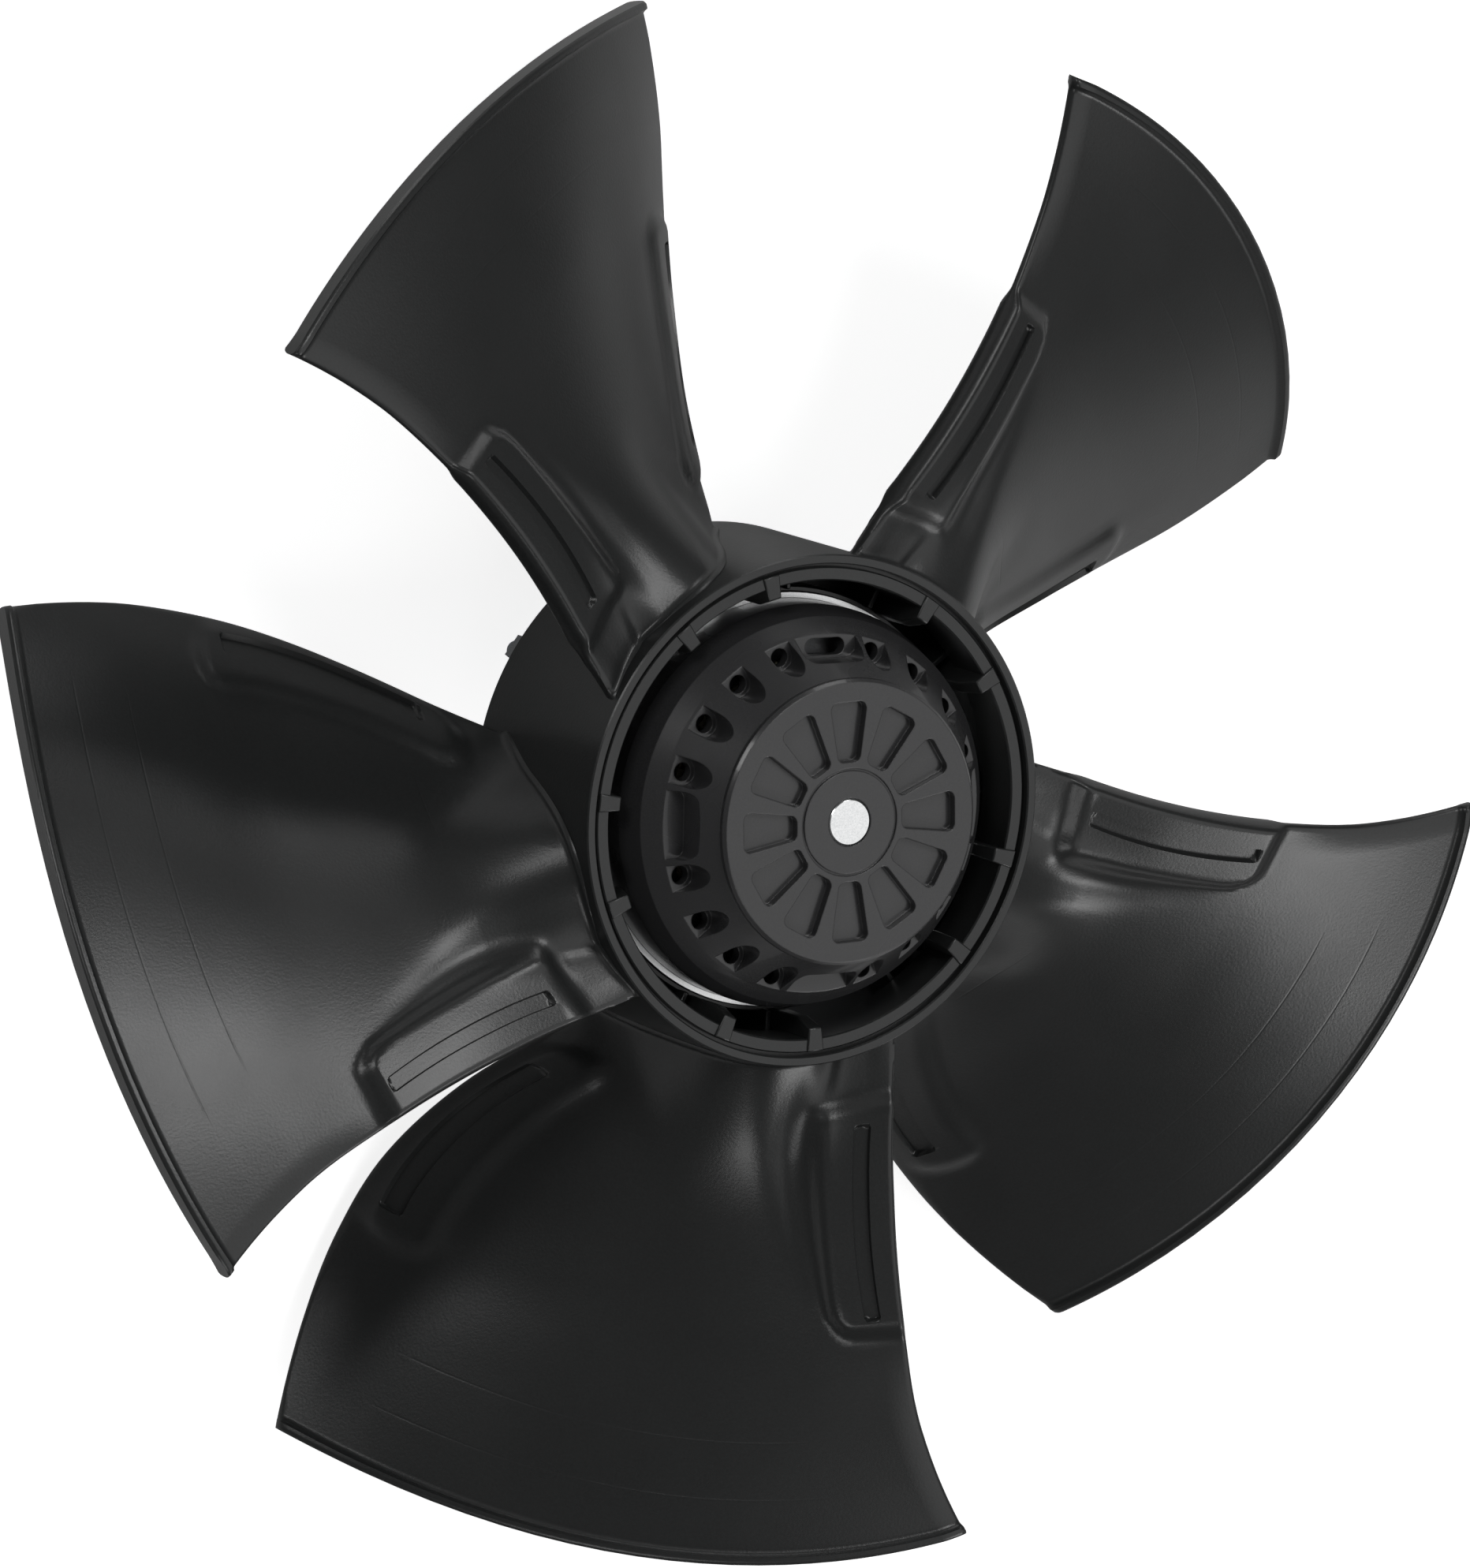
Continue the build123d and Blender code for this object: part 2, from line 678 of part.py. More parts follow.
# earth screw in its lug, head to the rear
with BuildPart() as earth_screw:
    with PolarLocations(earth_screw_circle, 1, start_angle=earth_lug_angle):
        with Locations((0, 0, flange_rear_z - earth_head_height - earth_washer_thickness)):
            Cylinder(earth_head_radius, earth_head_height, align=bottom_aligned)
        with Locations((0, 0, flange_rear_z - earth_washer_thickness)):
            Cylinder(
                earth_screw_radius - seat_clearance,
                earth_screw_length + earth_washer_thickness - 1,
                align=bottom_aligned,
            )
write(earth_screw.part, "earth_screw")

with BuildPart() as earth_washer:
    with BuildSketch(Plane.XY.offset(flange_rear_z - earth_washer_thickness)):
        with PolarLocations(earth_screw_circle, 1, start_angle=earth_lug_angle):
            Circle(earth_head_radius + 0.3)
            Circle(earth_screw_radius + 0.1, mode=Mode.SUBTRACT)
    extrude(amount=earth_washer_thickness)
write(earth_washer.part, "earth_washer")

# ---------------------------------------------------------------- stator core, end plates, winding
slot_pitch = 360 / slot_count
with BuildSketch() as stator_slots:
    with PolarLocations(0, slot_count, start_angle=slot_pitch / 2):
        Polygon(
            (slot_floor_radius, -slot_floor_width / 2),
            (slot_shoulder_radius, -slot_top_width / 2),
            (slot_shoulder_radius, slot_top_width / 2),
            (slot_floor_radius, slot_floor_width / 2),
            align=None,
        )
        with Locations(((slot_shoulder_radius + stator_radius) / 2, 0)):
            Rectangle(stator_radius - slot_shoulder_radius + 1, slot_mouth_width)


def stator_stack(low_z, height, outer_radius):
    """Toothed plates of the stator between two heights."""
    with BuildPart() as stack:
        with BuildSketch(Plane.XY.offset(low_z)):
            Circle(outer_radius)
            Circle(tube_radius + seat_clearance, mode=Mode.SUBTRACT)
            add(stator_slots.sketch, mode=Mode.SUBTRACT)
        extrude(amount=height)
    return stack.part


write(stator_stack(core_rear_z, core_length, stator_radius), "stator_core")

end_plates = (
    ("front_end_plate", core_front_z, core_front_z + end_plate_thickness),
    ("rear_end_plate", core_rear_z - end_plate_thickness, core_rear_z - end_collar_height),
)
for plate_name, plate_z, collar_z in end_plates:
    with BuildPart() as end_plate:
        add(stator_stack(plate_z, end_plate_thickness, stator_radius - 1))
        with BuildSketch(Plane.XY.offset(collar_z)):
            Circle(tube_radius + seat_clearance + end_collar_wall)
            Circle(tube_radius + seat_clearance, mode=Mode.SUBTRACT)
        extrude(amount=end_collar_height - end_plate_thickness)
    write(end_plate.part, plate_name)

winding_rear_z = core_rear_z - end_plate_thickness - coil_slack
winding_front_z = core_front_z + end_plate_thickness + coil_slack
with BuildPart() as winding:
    with BuildSketch(Plane.XY.offset(winding_rear_z)):
        with PolarLocations(0, slot_count, start_angle=slot_pitch / 2):
            Polygon(
                (slot_floor_radius + coil_slack, -slot_floor_width / 2 + coil_slack),
                (slot_shoulder_radius - coil_slack, -slot_top_width / 2 + 2 * coil_slack),
                (slot_shoulder_radius - coil_slack, slot_top_width / 2 - 2 * coil_slack),
                (slot_floor_radius + coil_slack, slot_floor_width / 2 - coil_slack),
                align=None,
            )
    extrude(amount=winding_front_z - winding_rear_z)
    for coil_z, away in ((winding_rear_z, -1), (winding_front_z, 1)):
        with BuildSketch(Plane.XZ):
            with BuildLine():
                Polyline(
                    (coil_inner_radius, coil_z),
                    (coil_inner_radius, coil_z + away * (coil_height - coil_chamfer)),
                    (coil_inner_radius + coil_chamfer, coil_z + away * coil_height),
                    (coil_outer_radius - coil_chamfer, coil_z + away * coil_height),
                    (coil_outer_radius, coil_z + away * (coil_height - coil_chamfer)),
                    (coil_outer_radius, coil_z),
                    close=True,
                )
            make_face()
        revolve(axis=Axis.Z)
write(winding.part, "winding")

with BuildPart() as slot_wedges:
    with BuildSketch(Plane.XY.offset(core_rear_z)):
        with PolarLocations((wedge_inner_radius + wedge_outer_radius) / 2, slot_count, start_angle=slot_pitch / 2):
            Rectangle(wedge_outer_radius - wedge_inner_radius, wedge_width)
    extrude(amount=core_length)
write(slot_wedges.part, "slot_wedges")

# ---------------------------------------------------------------- cable gland
with BuildPart() as gland_body:
    with BuildSketch(gland_plane):
        RegularPolygon(gland_hex_width / 2, 6, major_radius=False)
    extrude(amount=gland_flange_length)
    with BuildSketch(gland_plane):
        Circle(gland_thread_radius)
    extrude(amount=gland_flange_length + gland_thread_length)
    with BuildSketch(gland_plane):
        Circle(gland_thread_radius)
    extrude(amount=-flange_wall - gland_inner_length)
    with BuildSketch(gland_plane.offset(-flange_wall - gland_inner_length)):
        Circle(gland_hole_radius)
    extrude(amount=gland_total_length, mode=Mode.SUBTRACT)
write(gland_body.part, "gland_body")

with BuildPart() as gland_nut:
    with BuildSketch(gland_plane.offset(gland_flange_length + gland_gap)):
        RegularPolygon(gland_hex_width / 2, 6, major_radius=False)
        Circle(gland_thread_radius + seat_clearance, mode=Mode.SUBTRACT)
    extrude(amount=gland_thread_length - gland_gap + gland_cap_length)
    with BuildSketch(gland_plane.offset(gland_flange_length + gland_thread_length + gland_seal_gap)):
        Circle(gland_thread_radius + seat_clearance)
        Circle(gland_hole_radius, mode=Mode.SUBTRACT)
    extrude(amount=gland_cap_length - gland_seal_gap)
write(gland_nut.part, "gland_nut")
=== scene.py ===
"""Axial fan on its external-rotor motor, dressed for view.

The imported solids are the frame. The moulded impeller is drawn again from the same sizes with its
soft forms: blended pads, root fillets, rounded edges and tip lips. Lengths are in millimetres
unless a comment says otherwise; Z runs along the fan axis from the back of the motor flange.
"""

import math

import bmesh
import bpy
import numpy as np
from mathutils import Euler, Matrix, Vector


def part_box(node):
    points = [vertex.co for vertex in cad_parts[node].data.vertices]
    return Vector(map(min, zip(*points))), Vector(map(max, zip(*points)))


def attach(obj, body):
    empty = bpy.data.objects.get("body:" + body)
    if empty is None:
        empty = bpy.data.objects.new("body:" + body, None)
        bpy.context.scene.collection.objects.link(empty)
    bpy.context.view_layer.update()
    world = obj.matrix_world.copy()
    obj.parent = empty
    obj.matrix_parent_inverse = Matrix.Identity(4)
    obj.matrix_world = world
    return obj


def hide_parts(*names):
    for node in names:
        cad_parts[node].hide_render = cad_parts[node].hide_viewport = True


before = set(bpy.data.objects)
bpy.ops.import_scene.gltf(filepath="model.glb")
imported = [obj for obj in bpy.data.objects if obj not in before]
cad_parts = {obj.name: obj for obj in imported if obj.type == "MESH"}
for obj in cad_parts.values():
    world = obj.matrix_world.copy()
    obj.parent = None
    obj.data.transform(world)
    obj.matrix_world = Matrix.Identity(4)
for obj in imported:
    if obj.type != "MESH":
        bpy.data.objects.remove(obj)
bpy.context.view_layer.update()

bl_info = {
    "name": "Axial Fan Impeller",
    "version": (1, 0, 0),
    "blender": (4, 5, 0),
    "location": "3D Viewport > Sidebar > Axial Fan",
    "description": "Moulded fan impeller on the turning bell of its motor, with finishes and light",
    "category": "Add Mesh",
}

MM = 0.001
FULL_TURN = 2 * math.pi
BELL_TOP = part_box("rotor_bell")[1].z / MM

# ------------------------------------------------------------------ sizes of the hub
RIM_DROP = 20.7
RIM_Z = BELL_TOP - RIM_DROP
HUB_RADIUS = 74.7
HUB_LENGTH = 67.0
HUB_WALL = 2.5
HUB_ROUNDING = 0.4
HUB_SEGMENTS = 240
RIM_WIDTH = 2.8
RIM_GROOVE_WIDTH = 1.0
RIM_GROOVE_DEPTH = 3.0
LIP_WIDTH = 3.9
LIP_DROP = 1.2
LIP_DEPTH = 17.5
LIP_STEP = 1.6
LIP_INNER = HUB_RADIUS - RIM_WIDTH - RIM_GROOVE_WIDTH - LIP_WIDTH
SLEEVE_INNER = 60.56
SLEEVE_OUTER = 62.36
SLEEVE_DROP = 23.0
SLEEVE_LENGTH = 38.0
SLEEVE_SEGMENTS = 180
# chamfers of the sleeve's front end, on its outer and on its inner side
SLEEVE_CHAMFERS = (0.5, 0.3)

# ties between sleeve and hub wall, in pairs; angles in degrees
TAB_ANGLES = (28.6, 54.6)
TAB_PAIRS = 5
TAB_FACE_RADIUS = 63.8
TAB_WIDTHS = (3.4, 5.4)
TAB_FACE_SPREAD = 0.8
TAB_DROP = 0.6
TAB_SLOPE_DEPTH = 8.0
TAB_DEPTH = 28.0
# where a tie ends: outside the sleeve's inner side, and inside the lip's outer side
TAB_END_OFFSETS = (1.0, 0.15)

# box bridges between sleeve and hub wall; angles in degrees
BRIDGES = 4
BRIDGE_START = 60.0
BRIDGE_HALF = 26.5
BRIDGE_STEPS = 13
# drops below the rim: back and front of the floor, front of the ribs
BRIDGE_FLOOR_DROPS = (39.0, 36.0)
BRIDGE_RIB_DROP = 20.0
BRIDGE_RIB_HALF = 0.8
# how far a bridge reaches into the sleeve and into the hub wall
BRIDGE_SINKS = (0.8, 1.0)

# ------------------------------------------------------------------ sizes of a blade
BLADES = 5
BLADE_START = 41.0
BLADE_THICKNESS = 3.0
FOOT_RADIUS = 73.4
# a little under the frame's blade circle of 225, whose box the tips must not leave
TIP_RADIUS = 224.85
TIP_LIP_WIDTH = 2.4
TIP_LIP_THICKNESS = 6.4
# the lip rises from this far before its inner edge to this far behind it
TIP_LIP_RAMP = (1.0, 0.2)
# how far the lip's outer corner is taken in, and over what width
TIP_CORNER = (0.6, 0.7)
ROOT_FILLET = 1.4
EDGE_RADIUS = 0.4
# span, front edge (side, height), rear edge (side, height), camber; heights from the rim
BLADE_STATIONS = (
    (50.0, 42.0, -5.5, -15.5, -24.0, 14.0),
    (75.0, 47.0, -4.2, -30.0, -56.0, 13.4),
    (100.0, 51.4, -2.8, -46.5, -85.0, 13.0),
    (125.0, 57.7, -1.6, -61.0, -98.0, 12.2),
    (150.0, 66.5, -1.1, -71.5, -99.7, 11.6),
    (175.0, 78.4, -1.4, -78.7, -96.7, 12.6),
    (200.0, 96.4, -0.5, -83.2, -93.0, 14.0),
    (228.0, 125.0, 3.2, -86.0, -88.0, 15.0),
)
# columns of the stations that hold the side of the front and of the rear edge
FRONT_EDGE, REAR_EDGE = 1, 3

# balance slots: centre (along, across), turn in degrees, bow across the blade
FRONT_SLOT = (116.2, 46.2, 14.8, 2.2)
REAR_SLOT = (116.3, -48.4, -27.9, 2.6)
SLOT_SIZE = (57.0, 4.2)
SLOT_CORNER = 1.2
SLOT_DEPTH = 1.6
# half the width over which a slot's wall falls
SLOT_EASE = 0.2
# the bow grows up to this share of the slot's half length and is level beyond it
BOW_LIMIT = 1.3

REAR_PAD_RISE = 1.8
REAR_PAD_SIZE = (72.0, 12.0)
REAR_PAD_SHIFT = 2.7
REAR_PAD_CORNER = 5.0
# the rear pad's wall, from inside to outside of its outline
REAR_PAD_WALL = (-1.5, 3.5)
# height of a pad on the rear skin, as a share of its height on the front skin
REAR_SKIN_SHARE = 0.6

PAD_RISE = 3.0
PAD_CORNER = 8.0
# inner edge of the front pad's plateau
PAD_EDGE_X = (80.0, 89.0, 108.0, 127.0, 150.0)
PAD_EDGE_Y = (27.0, 29.0, 33.4, 38.6, 46.0)
# width of the plateau's inner wall from hub end to tip end, its foot, and its width at the tip end
PAD_WALL_X = (80.0, 110.0, 150.0)
PAD_WALL = (7.0, 4.8, 2.6)
PAD_FOOT = 0.8
PAD_TIP_WALL = 6.5
# slanting ends of the plateau: place along the blade, at which side, drift along for each across
PAD_HUB_END = (89.5, 29.0, 0.36)
PAD_TIP_END = (153.6, 46.0, 0.25)
PAD_HUB_RAMP = 7.5
# the low neck between the plateau and the hub: height, where it rises across and ends along
NECK_RISE = 1.2
NECK_Y = (26.0, 30.5)
NECK_X = (78.0, 86.0)
# the trough between the blade and the pad: where it runs, its half width and depth
TROUGH_X = (70.0, 80.0, 93.0, 103.0, 112.0, 125.0, 140.0)
TROUGH_Y = (15.0, 17.0, 20.0, 23.0, 26.0, 31.0, 37.5)
TROUGH_HALF = (8.5, 8.0, 6.5, 5.5, 4.5, 3.5, 3.0)
TROUGH_DEPTH = (1.0, 1.4, 2.0, 2.0, 1.5, 0.7, 0.0)

# rise of the blade over its plain camber where it meets the hub: across the blade, height
SWELL_Y = (-30.0, -24.0, -18.0, -13.0, -8.0, -3.0, 3.0, 11.0, 18.0, 28.0, 36.0, 43.0)
SWELL_Z = (-6.0, -7.0, -4.0, 4.0, 9.5, 11.5, 11.0, 7.5, 3.0, -5.0, -5.0, -2.0)
# its outward reach, the share of the reach by which it starts to fade inside the hub's skin, and
# its drift across the blade for each millimetre outwards
SWELL_REACH = 50.0
SWELL_LEAD = 0.4
SWELL_DRIFT = 0.27
# the front edge curls back near the tip: height, width, where it starts and is full
CURL = (1.3, 10.0, 140.0, 168.0)

# witness lines: radius, and where they start and end about the blade axis, in degrees
HAIR_LINES = ((104.6, -12.0, 0.0), (189.0, -17.0, 14.0), (206.0, -18.0, 16.0))
HAIR_DEPTH = 0.05
HAIR_FADE_DEGREES = 1.5
# how near its radius a row of points counts as lying on the line
HAIR_REACH = 0.05

# ------------------------------------------------------------------ grid of a blade
# lines off the front and off the rear edge, close together at edges and slot sides
EDGE_LINES = (0.0, 0.12, 0.4, 0.85, 1.5)
FRONT_LINES = np.array([
    *EDGE_LINES, 2.4, 3.6, 5.0, 6.4, 7.33, 7.53, 7.73, 7.93, 9.0, 9.9, 10.8, 11.87, 12.07, 12.27,
    12.5, *np.arange(13.5, 33.0, 1.3), 35.0, 37.5, 40.5, 44.0, 47.5, 51.0])
REAR_LINES = np.array([
    *EDGE_LINES, 2.4, 3.4, 4.4, 4.7, 4.92, 5.14, 6.2, 7.3, 8.4, 9.46, 9.68, 9.9, 11.0,
    *np.arange(12.3, 22.0, 1.6)])
MIDDLE_SHARES = np.linspace(0, 1, 16)[1:-1]
# which of those lines are meant for the middle of the front and of the rear slot
FRONT_SLOT_LINE = 9.9
REAR_SLOT_LINE = 7.3
# lines follow a slot up to this shift, fully this near to it, and no more this far inwards
FOLLOW_LIMIT = 2.4
FOLLOW_NEAR = 2.6
FOLLOW_FAR = 18.0
# a chord shorter than this has its lines drawn together
FULL_CHORD = 84.0
# a line's place along the blade is found in rounds from a first guess, a share of the radius
FIRST_GUESS = 0.95
PLAN_ROUNDS = 14
SLOPE_STEP = 0.05
FAR_OFF_EDGE = 99.0
# radii of the rows: at the hub, spans (start, end, step), at the tip
HUB_ROWS = (FOOT_RADIUS, 74.4, 74.8, 75.2, 75.8, 76.7)
ROW_SPANS = ((78.0, 95.6, 1.6), (96.2, 100.0, 0.4), (101.5, 152.0, 3.4), (152.4, 155.2, 0.4),
             (156.5, 170.0, 1.7), (172.5, 220.0, 4.5))
TIP_ROWS = (220.0, 221.2, 222.0, 222.6, 223.4, 224.2, 224.6, TIP_RADIUS)
# rows on and beside a witness line, and how far other rows keep off it
HAIR_ROWS = (-0.55, -0.2, 0.0, 0.2, 0.55)
HAIR_CLEARANCE = 0.8

# ------------------------------------------------------------------ meshes
MERGE_DISTANCE = 0.002
DISSOLVE_DISTANCE = 0.001
BEVEL_SEGMENTS = 2
BEVEL_ANGLE = 35.0

# ------------------------------------------------------------------ view and light
# lens and sensor in millimetres, shift in sensor widths, turns in degrees, all else in metres;
# a lamp's last value is its power in watts
VIEW_LENS = 391.94
VIEW_SENSOR = 36.0
VIEW_SHIFT = (-0.000573, -0.00189)
VIEW_PLACE = (-2.42411, 0.90931, 4.28400)
VIEW_TURN = (-10.3455, -29.9399, -0.4352)
VIEW_END = 50.0
LAMP_SIZE = 0.8
LAMPS = (
    ("front_lamp", (0.49, 1.15, 2.38), 14.5),
    ("left_lamp", (-1.65, 1.45, 1.49), 10.0),
    ("lower_left_lamp", (-1.04, -1.57, 1.89), 6.5),
    ("lower_right_lamp", (1.32, -1.85, 1.36), 11.0),
    ("top_lamp", (0.83, 2.32, 0.95), 6.0),
)
# the floor lies a little below the flange's back face, so that the two don't share a plane
FLOOR_Z = -0.0002
FLOOR_HALF = 4.0
FLOOR_GLOW = 0.8
FILL_LIGHT = 0.12
# the side of the white surround that shows in the polished faces, and where its edge fades
WHITE_SIDE = (0.4927, -0.1848, 0.8504)
WHITE_SIDE_EDGE = (0.8, 0.96)
WHITE = (1, 1, 1, 1)

# ------------------------------------------------------------------ colours, sRGB
POLYAMIDE_BLACK = "252626"
PAINT_BLACK = "323233"
ROLLED_STEEL = "F1F3F4"
SHAFT_STEEL = "E6E9EA"
CAST_ALUMINIUM = "B4B6B8"
CAGE_GREY = "5C5D5E"
LAMINATION = "6C6B69"
SPRING_STEEL = "5E5E60"
ZINC = "C8CCD0"
GLAND_BLACK = "232425"
ENAMEL_COPPER = "A5603A"
NATURAL_NYLON = "D8D2BE"
SEAL_BLACK = "161616"
FLOOR_WHITE = "F4F4F4"
# how much darker and paler than its colour a finish gets from its grain
GRAIN_SHADES = (0.75, 1.35)
# uneven gloss: cells for each metre, so that a cloud is about 36 mm across
CLOUD_SCALE = 28.0
NOISE_DETAIL = 2.0
EDGE_SAMPLES = 6


def linear(code):
    """An sRGB hex code as a linear colour."""
    parts = [int(code[i : i + 2], 16) / 255 for i in (0, 2, 4)]
    return (*[c / 12.92 if c <= 0.04045 else ((c + 0.055) / 1.055) ** 2.4 for c in parts], 1.0)


def add_node(tree, kind, values=(), **settings):
    """One node: settings are its own properties, values fill or link inputs by name or place."""
    made = tree.nodes.new(kind)
    for name, value in settings.items():
        setattr(made, name, value)
    for name, value in dict(values).items():
        if isinstance(value, bpy.types.NodeSocket):
            tree.links.new(value, made.inputs[name])
        else:
            made.inputs[name].default_value = value
    return made


# ------------------------------------------------------------------ finishes
def finish(name, colour, metallic, roughness, grain_mm, grain_depth_mm, wear, edge_mm=0.0,
           coat=0.0):
    """A finish with fine grain, uneven gloss and softened edges, in object coordinates.

    Real grain of these surfaces is too fine to show, so grain_mm is coarser than it.
    """
    material = bpy.data.materials.new(name)
    material.use_nodes = True
    tree = material.node_tree
    tree.nodes.clear()
    place = add_node(tree, "ShaderNodeTexCoord").outputs["Object"]
    cloud = add_node(tree, "ShaderNodeTexNoise", {
        "Vector": place, "Scale": CLOUD_SCALE, "Detail": NOISE_DETAIL})
    gloss = add_node(tree, "ShaderNodeMapRange", {
        "Value": cloud.outputs[0], "To Min": roughness - 2 * wear, "To Max": roughness + 2 * wear})
    grain = add_node(tree, "ShaderNodeTexNoise", {
        "Vector": place, "Scale": 1 / (grain_mm * MM), "Detail": NOISE_DETAIL})
    darker, paler = ((*[min(1.0, c * share) for c in colour[:3]], 1.0) for share in GRAIN_SHADES)
    # a Mix node has a pair of inputs for each type: 2 and 3 are numbers, 6 and 7 colours
    shade = add_node(tree, "ShaderNodeMix", {0: grain.outputs[0], 6: darker, 7: paler},
                     data_type="RGBA")
    bump = add_node(tree, "ShaderNodeBump", {
        "Height": grain.outputs[0], "Distance": grain_depth_mm * MM})
    if edge_mm:
        edges = add_node(tree, "ShaderNodeBevel", {"Radius": edge_mm * MM}, samples=EDGE_SAMPLES)
        tree.links.new(edges.outputs[0], bump.inputs["Normal"])
    shader = add_node(tree, "ShaderNodeBsdfPrincipled", {
        "Base Color": shade.outputs[2], "Roughness": gloss.outputs[0], "Metallic": metallic,
        "Coat Weight": coat, "Normal": bump.outputs[0]})
    add_node(tree, "ShaderNodeOutputMaterial", {"Surface": shader.outputs[0]})
    return material


def dress(name, surface, nodes):
    """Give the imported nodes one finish; surface holds finish's values from colour onwards."""
    material = finish(name, *surface)
    for node in nodes:
        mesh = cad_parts[node].data
        mesh.materials.clear()
        mesh.materials.append(material)


# ------------------------------------------------------------------ mesh helpers
def mesh_piece(name, points, faces, smooth_degrees=40.0):
    """A mesh object from points in millimetres, shaded smooth up to an edge angle."""
    mesh = bpy.data.meshes.new(name)
    mesh.from_pydata([tuple(p) for p in np.asarray(points) * MM], [], [tuple(f) for f in faces])
    mesh.validate()
    work = bmesh.new()
    work.from_mesh(mesh)
    bmesh.ops.remove_doubles(work, verts=work.verts, dist=MERGE_DISTANCE * MM)
    bmesh.ops.dissolve_degenerate(work, edges=work.edges, dist=DISSOLVE_DISTANCE * MM)
    bmesh.ops.recalc_face_normals(work, faces=work.faces)
    work.to_mesh(mesh)
    work.free()
    mesh.shade_smooth()
    mesh.set_sharp_from_angle(angle=math.radians(smooth_degrees))
    made = bpy.data.objects.new(name, mesh)
    bpy.context.scene.collection.objects.link(made)
    return made


def turned(profile, segments):
    """Points and faces of a closed profile (radius, height) turned about the fan axis."""
    profile = np.asarray(profile, float)
    count = len(profile)
    angles = np.arange(segments) * FULL_TURN / segments
    points = np.stack([
        np.outer(np.cos(angles), profile[:, 0]),
        np.outer(np.sin(angles), profile[:, 0]),
        np.tile(profile[:, 1], (segments, 1)),
    ], axis=-1).reshape(-1, 3)
    faces = []
    for s in range(segments):
        t = (s + 1) % segments
        for i in range(count):
            j = (i + 1) % count
            faces.append((s * count + i, s * count + j, t * count + j, t * count + i))
    return points, faces


def prism_sides(count):
    """Side faces between two outlines of that many points, listed one after the other."""
    return [(i, (i + 1) % count, count + (i + 1) % count, count + i) for i in range(count)]


def upright_prism(outline, low, high):
    """Points and faces of an upright prism over an outline in plan."""
    count = len(outline)
    points = [(x, y, low) for x, y in outline] + [(x, y, high) for x, y in outline]
    ends = [tuple(reversed(range(count))), tuple(range(count, 2 * count))]
    return points, ends + prism_sides(count)


def joined(*parts):
    """Several (points, faces) pairs as one."""
    points, faces = [], []
    for some_points, some_faces in parts:
        start = len(points)
        points.extend(tuple(p) for p in some_points)
        faces.extend(tuple(start + i for i in f) for f in some_faces)
    return points, faces


# ------------------------------------------------------------------ blade form
def smooth_step(value, low, high):
    """0 below low, 1 above high, eased between."""
    t = np.clip((value - low) / (high - low), 0, 1)
    return t * t * (3 - 2 * t)


def smooth_curve(span, spans, values):
    """A smooth curve through the values at the given spans, level beyond its ends."""
    spans, values = np.asarray(spans, float), np.asarray(values, float)
    span = np.clip(span, spans[0], spans[-1])
    slopes = np.gradient(values, spans)
    i = np.clip(np.searchsorted(spans, span) - 1, 0, len(spans) - 2)
    step = spans[i + 1] - spans[i]
    t = (span - spans[i]) / step
    return ((1 + 2 * t) * (1 - t) ** 2 * values[i] + t * (1 - t) ** 2 * step * slopes[i]
            + t * t * (3 - 2 * t) * values[i + 1] + t * t * (t - 1) * step * slopes[i + 1])


def along_stations(span, column):
    """One column of the blade stations as a smooth curve over the span."""
    spans, values = ([station[i] for station in BLADE_STATIONS] for i in (0, column))
    return smooth_curve(span, spans, values)


def camber_height(x, y):
    """Height of the camber surface over the plan point (x along the blade, y across)."""
    front_y, front_z, rear_y, rear_z, camber = (along_stations(x, c) for c in range(1, 6))
    chord = np.hypot(front_y - rear_y, front_z - rear_z)
    bend_y = (front_y + rear_y) / 2 - (front_z - rear_z) / chord * 2 * camber
    bend_z = (front_z + rear_z) / 2 + (front_y - rear_y) / chord * 2 * camber
    a = front_y - 2 * bend_y + rear_y
    b = 2 * (bend_y - front_y)
    c = front_y - y
    u = 2 * c / (-b + np.sqrt(np.maximum(b * b - 4 * a * c, 0)))
    return RIM_Z + front_z * (1 - u) ** 2 + 2 * u * (1 - u) * bend_z + rear_z * u * u


def skin_height(x, y):
    """The camber surface with its swell and dip beside the hub and its curled front edge."""
    radius = np.hypot(x, y)
    off_crest = y - SWELL_DRIFT * (radius - HUB_RADIUS)
    fade_start = HUB_RADIUS - SWELL_REACH * SWELL_LEAD
    fade = 1 - smooth_step(radius, fade_start, HUB_RADIUS + SWELL_REACH)
    curl, width, start, full = CURL
    off_edge = np.clip((along_stations(x, FRONT_EDGE) - y) / width, 0, 1)
    edge = curl * (1 - off_edge) ** 2 * smooth_step(x, start, full)
    return camber_height(x, y) + fade * smooth_curve(off_crest, SWELL_Y, SWELL_Z) - edge


def slot_bow(x, slot):
    """How far a slot bows across the blade at a place along it, level on average."""
    centre_x, _, turn, bow = slot
    reach = SLOT_SIZE[0] / 2 * math.cos(math.radians(turn))
    share = np.clip(np.abs(x - centre_x) / reach, 0, BOW_LIMIT)
    return bow * (share * share - 1 / 3)


def box_distance(x, y, slot, size, shift, corner):
    """Signed distance in plan from a rounded box on a slot's middle line, negative inside."""
    centre_x, centre_y, turn, _ = slot
    c, s = math.cos(math.radians(turn)), math.sin(math.radians(turn))
    y = y - slot_bow(x, slot)
    along = (x - centre_x) * c + (y - centre_y) * s
    across = -(x - centre_x) * s + (y - centre_y) * c - shift
    qx = np.abs(along) - size[0] / 2 + corner
    qy = np.abs(across) - size[1] / 2 + corner
    outside = np.hypot(np.maximum(qx, 0), np.maximum(qy, 0))
    return outside + np.minimum(np.maximum(qx, qy), 0) - corner


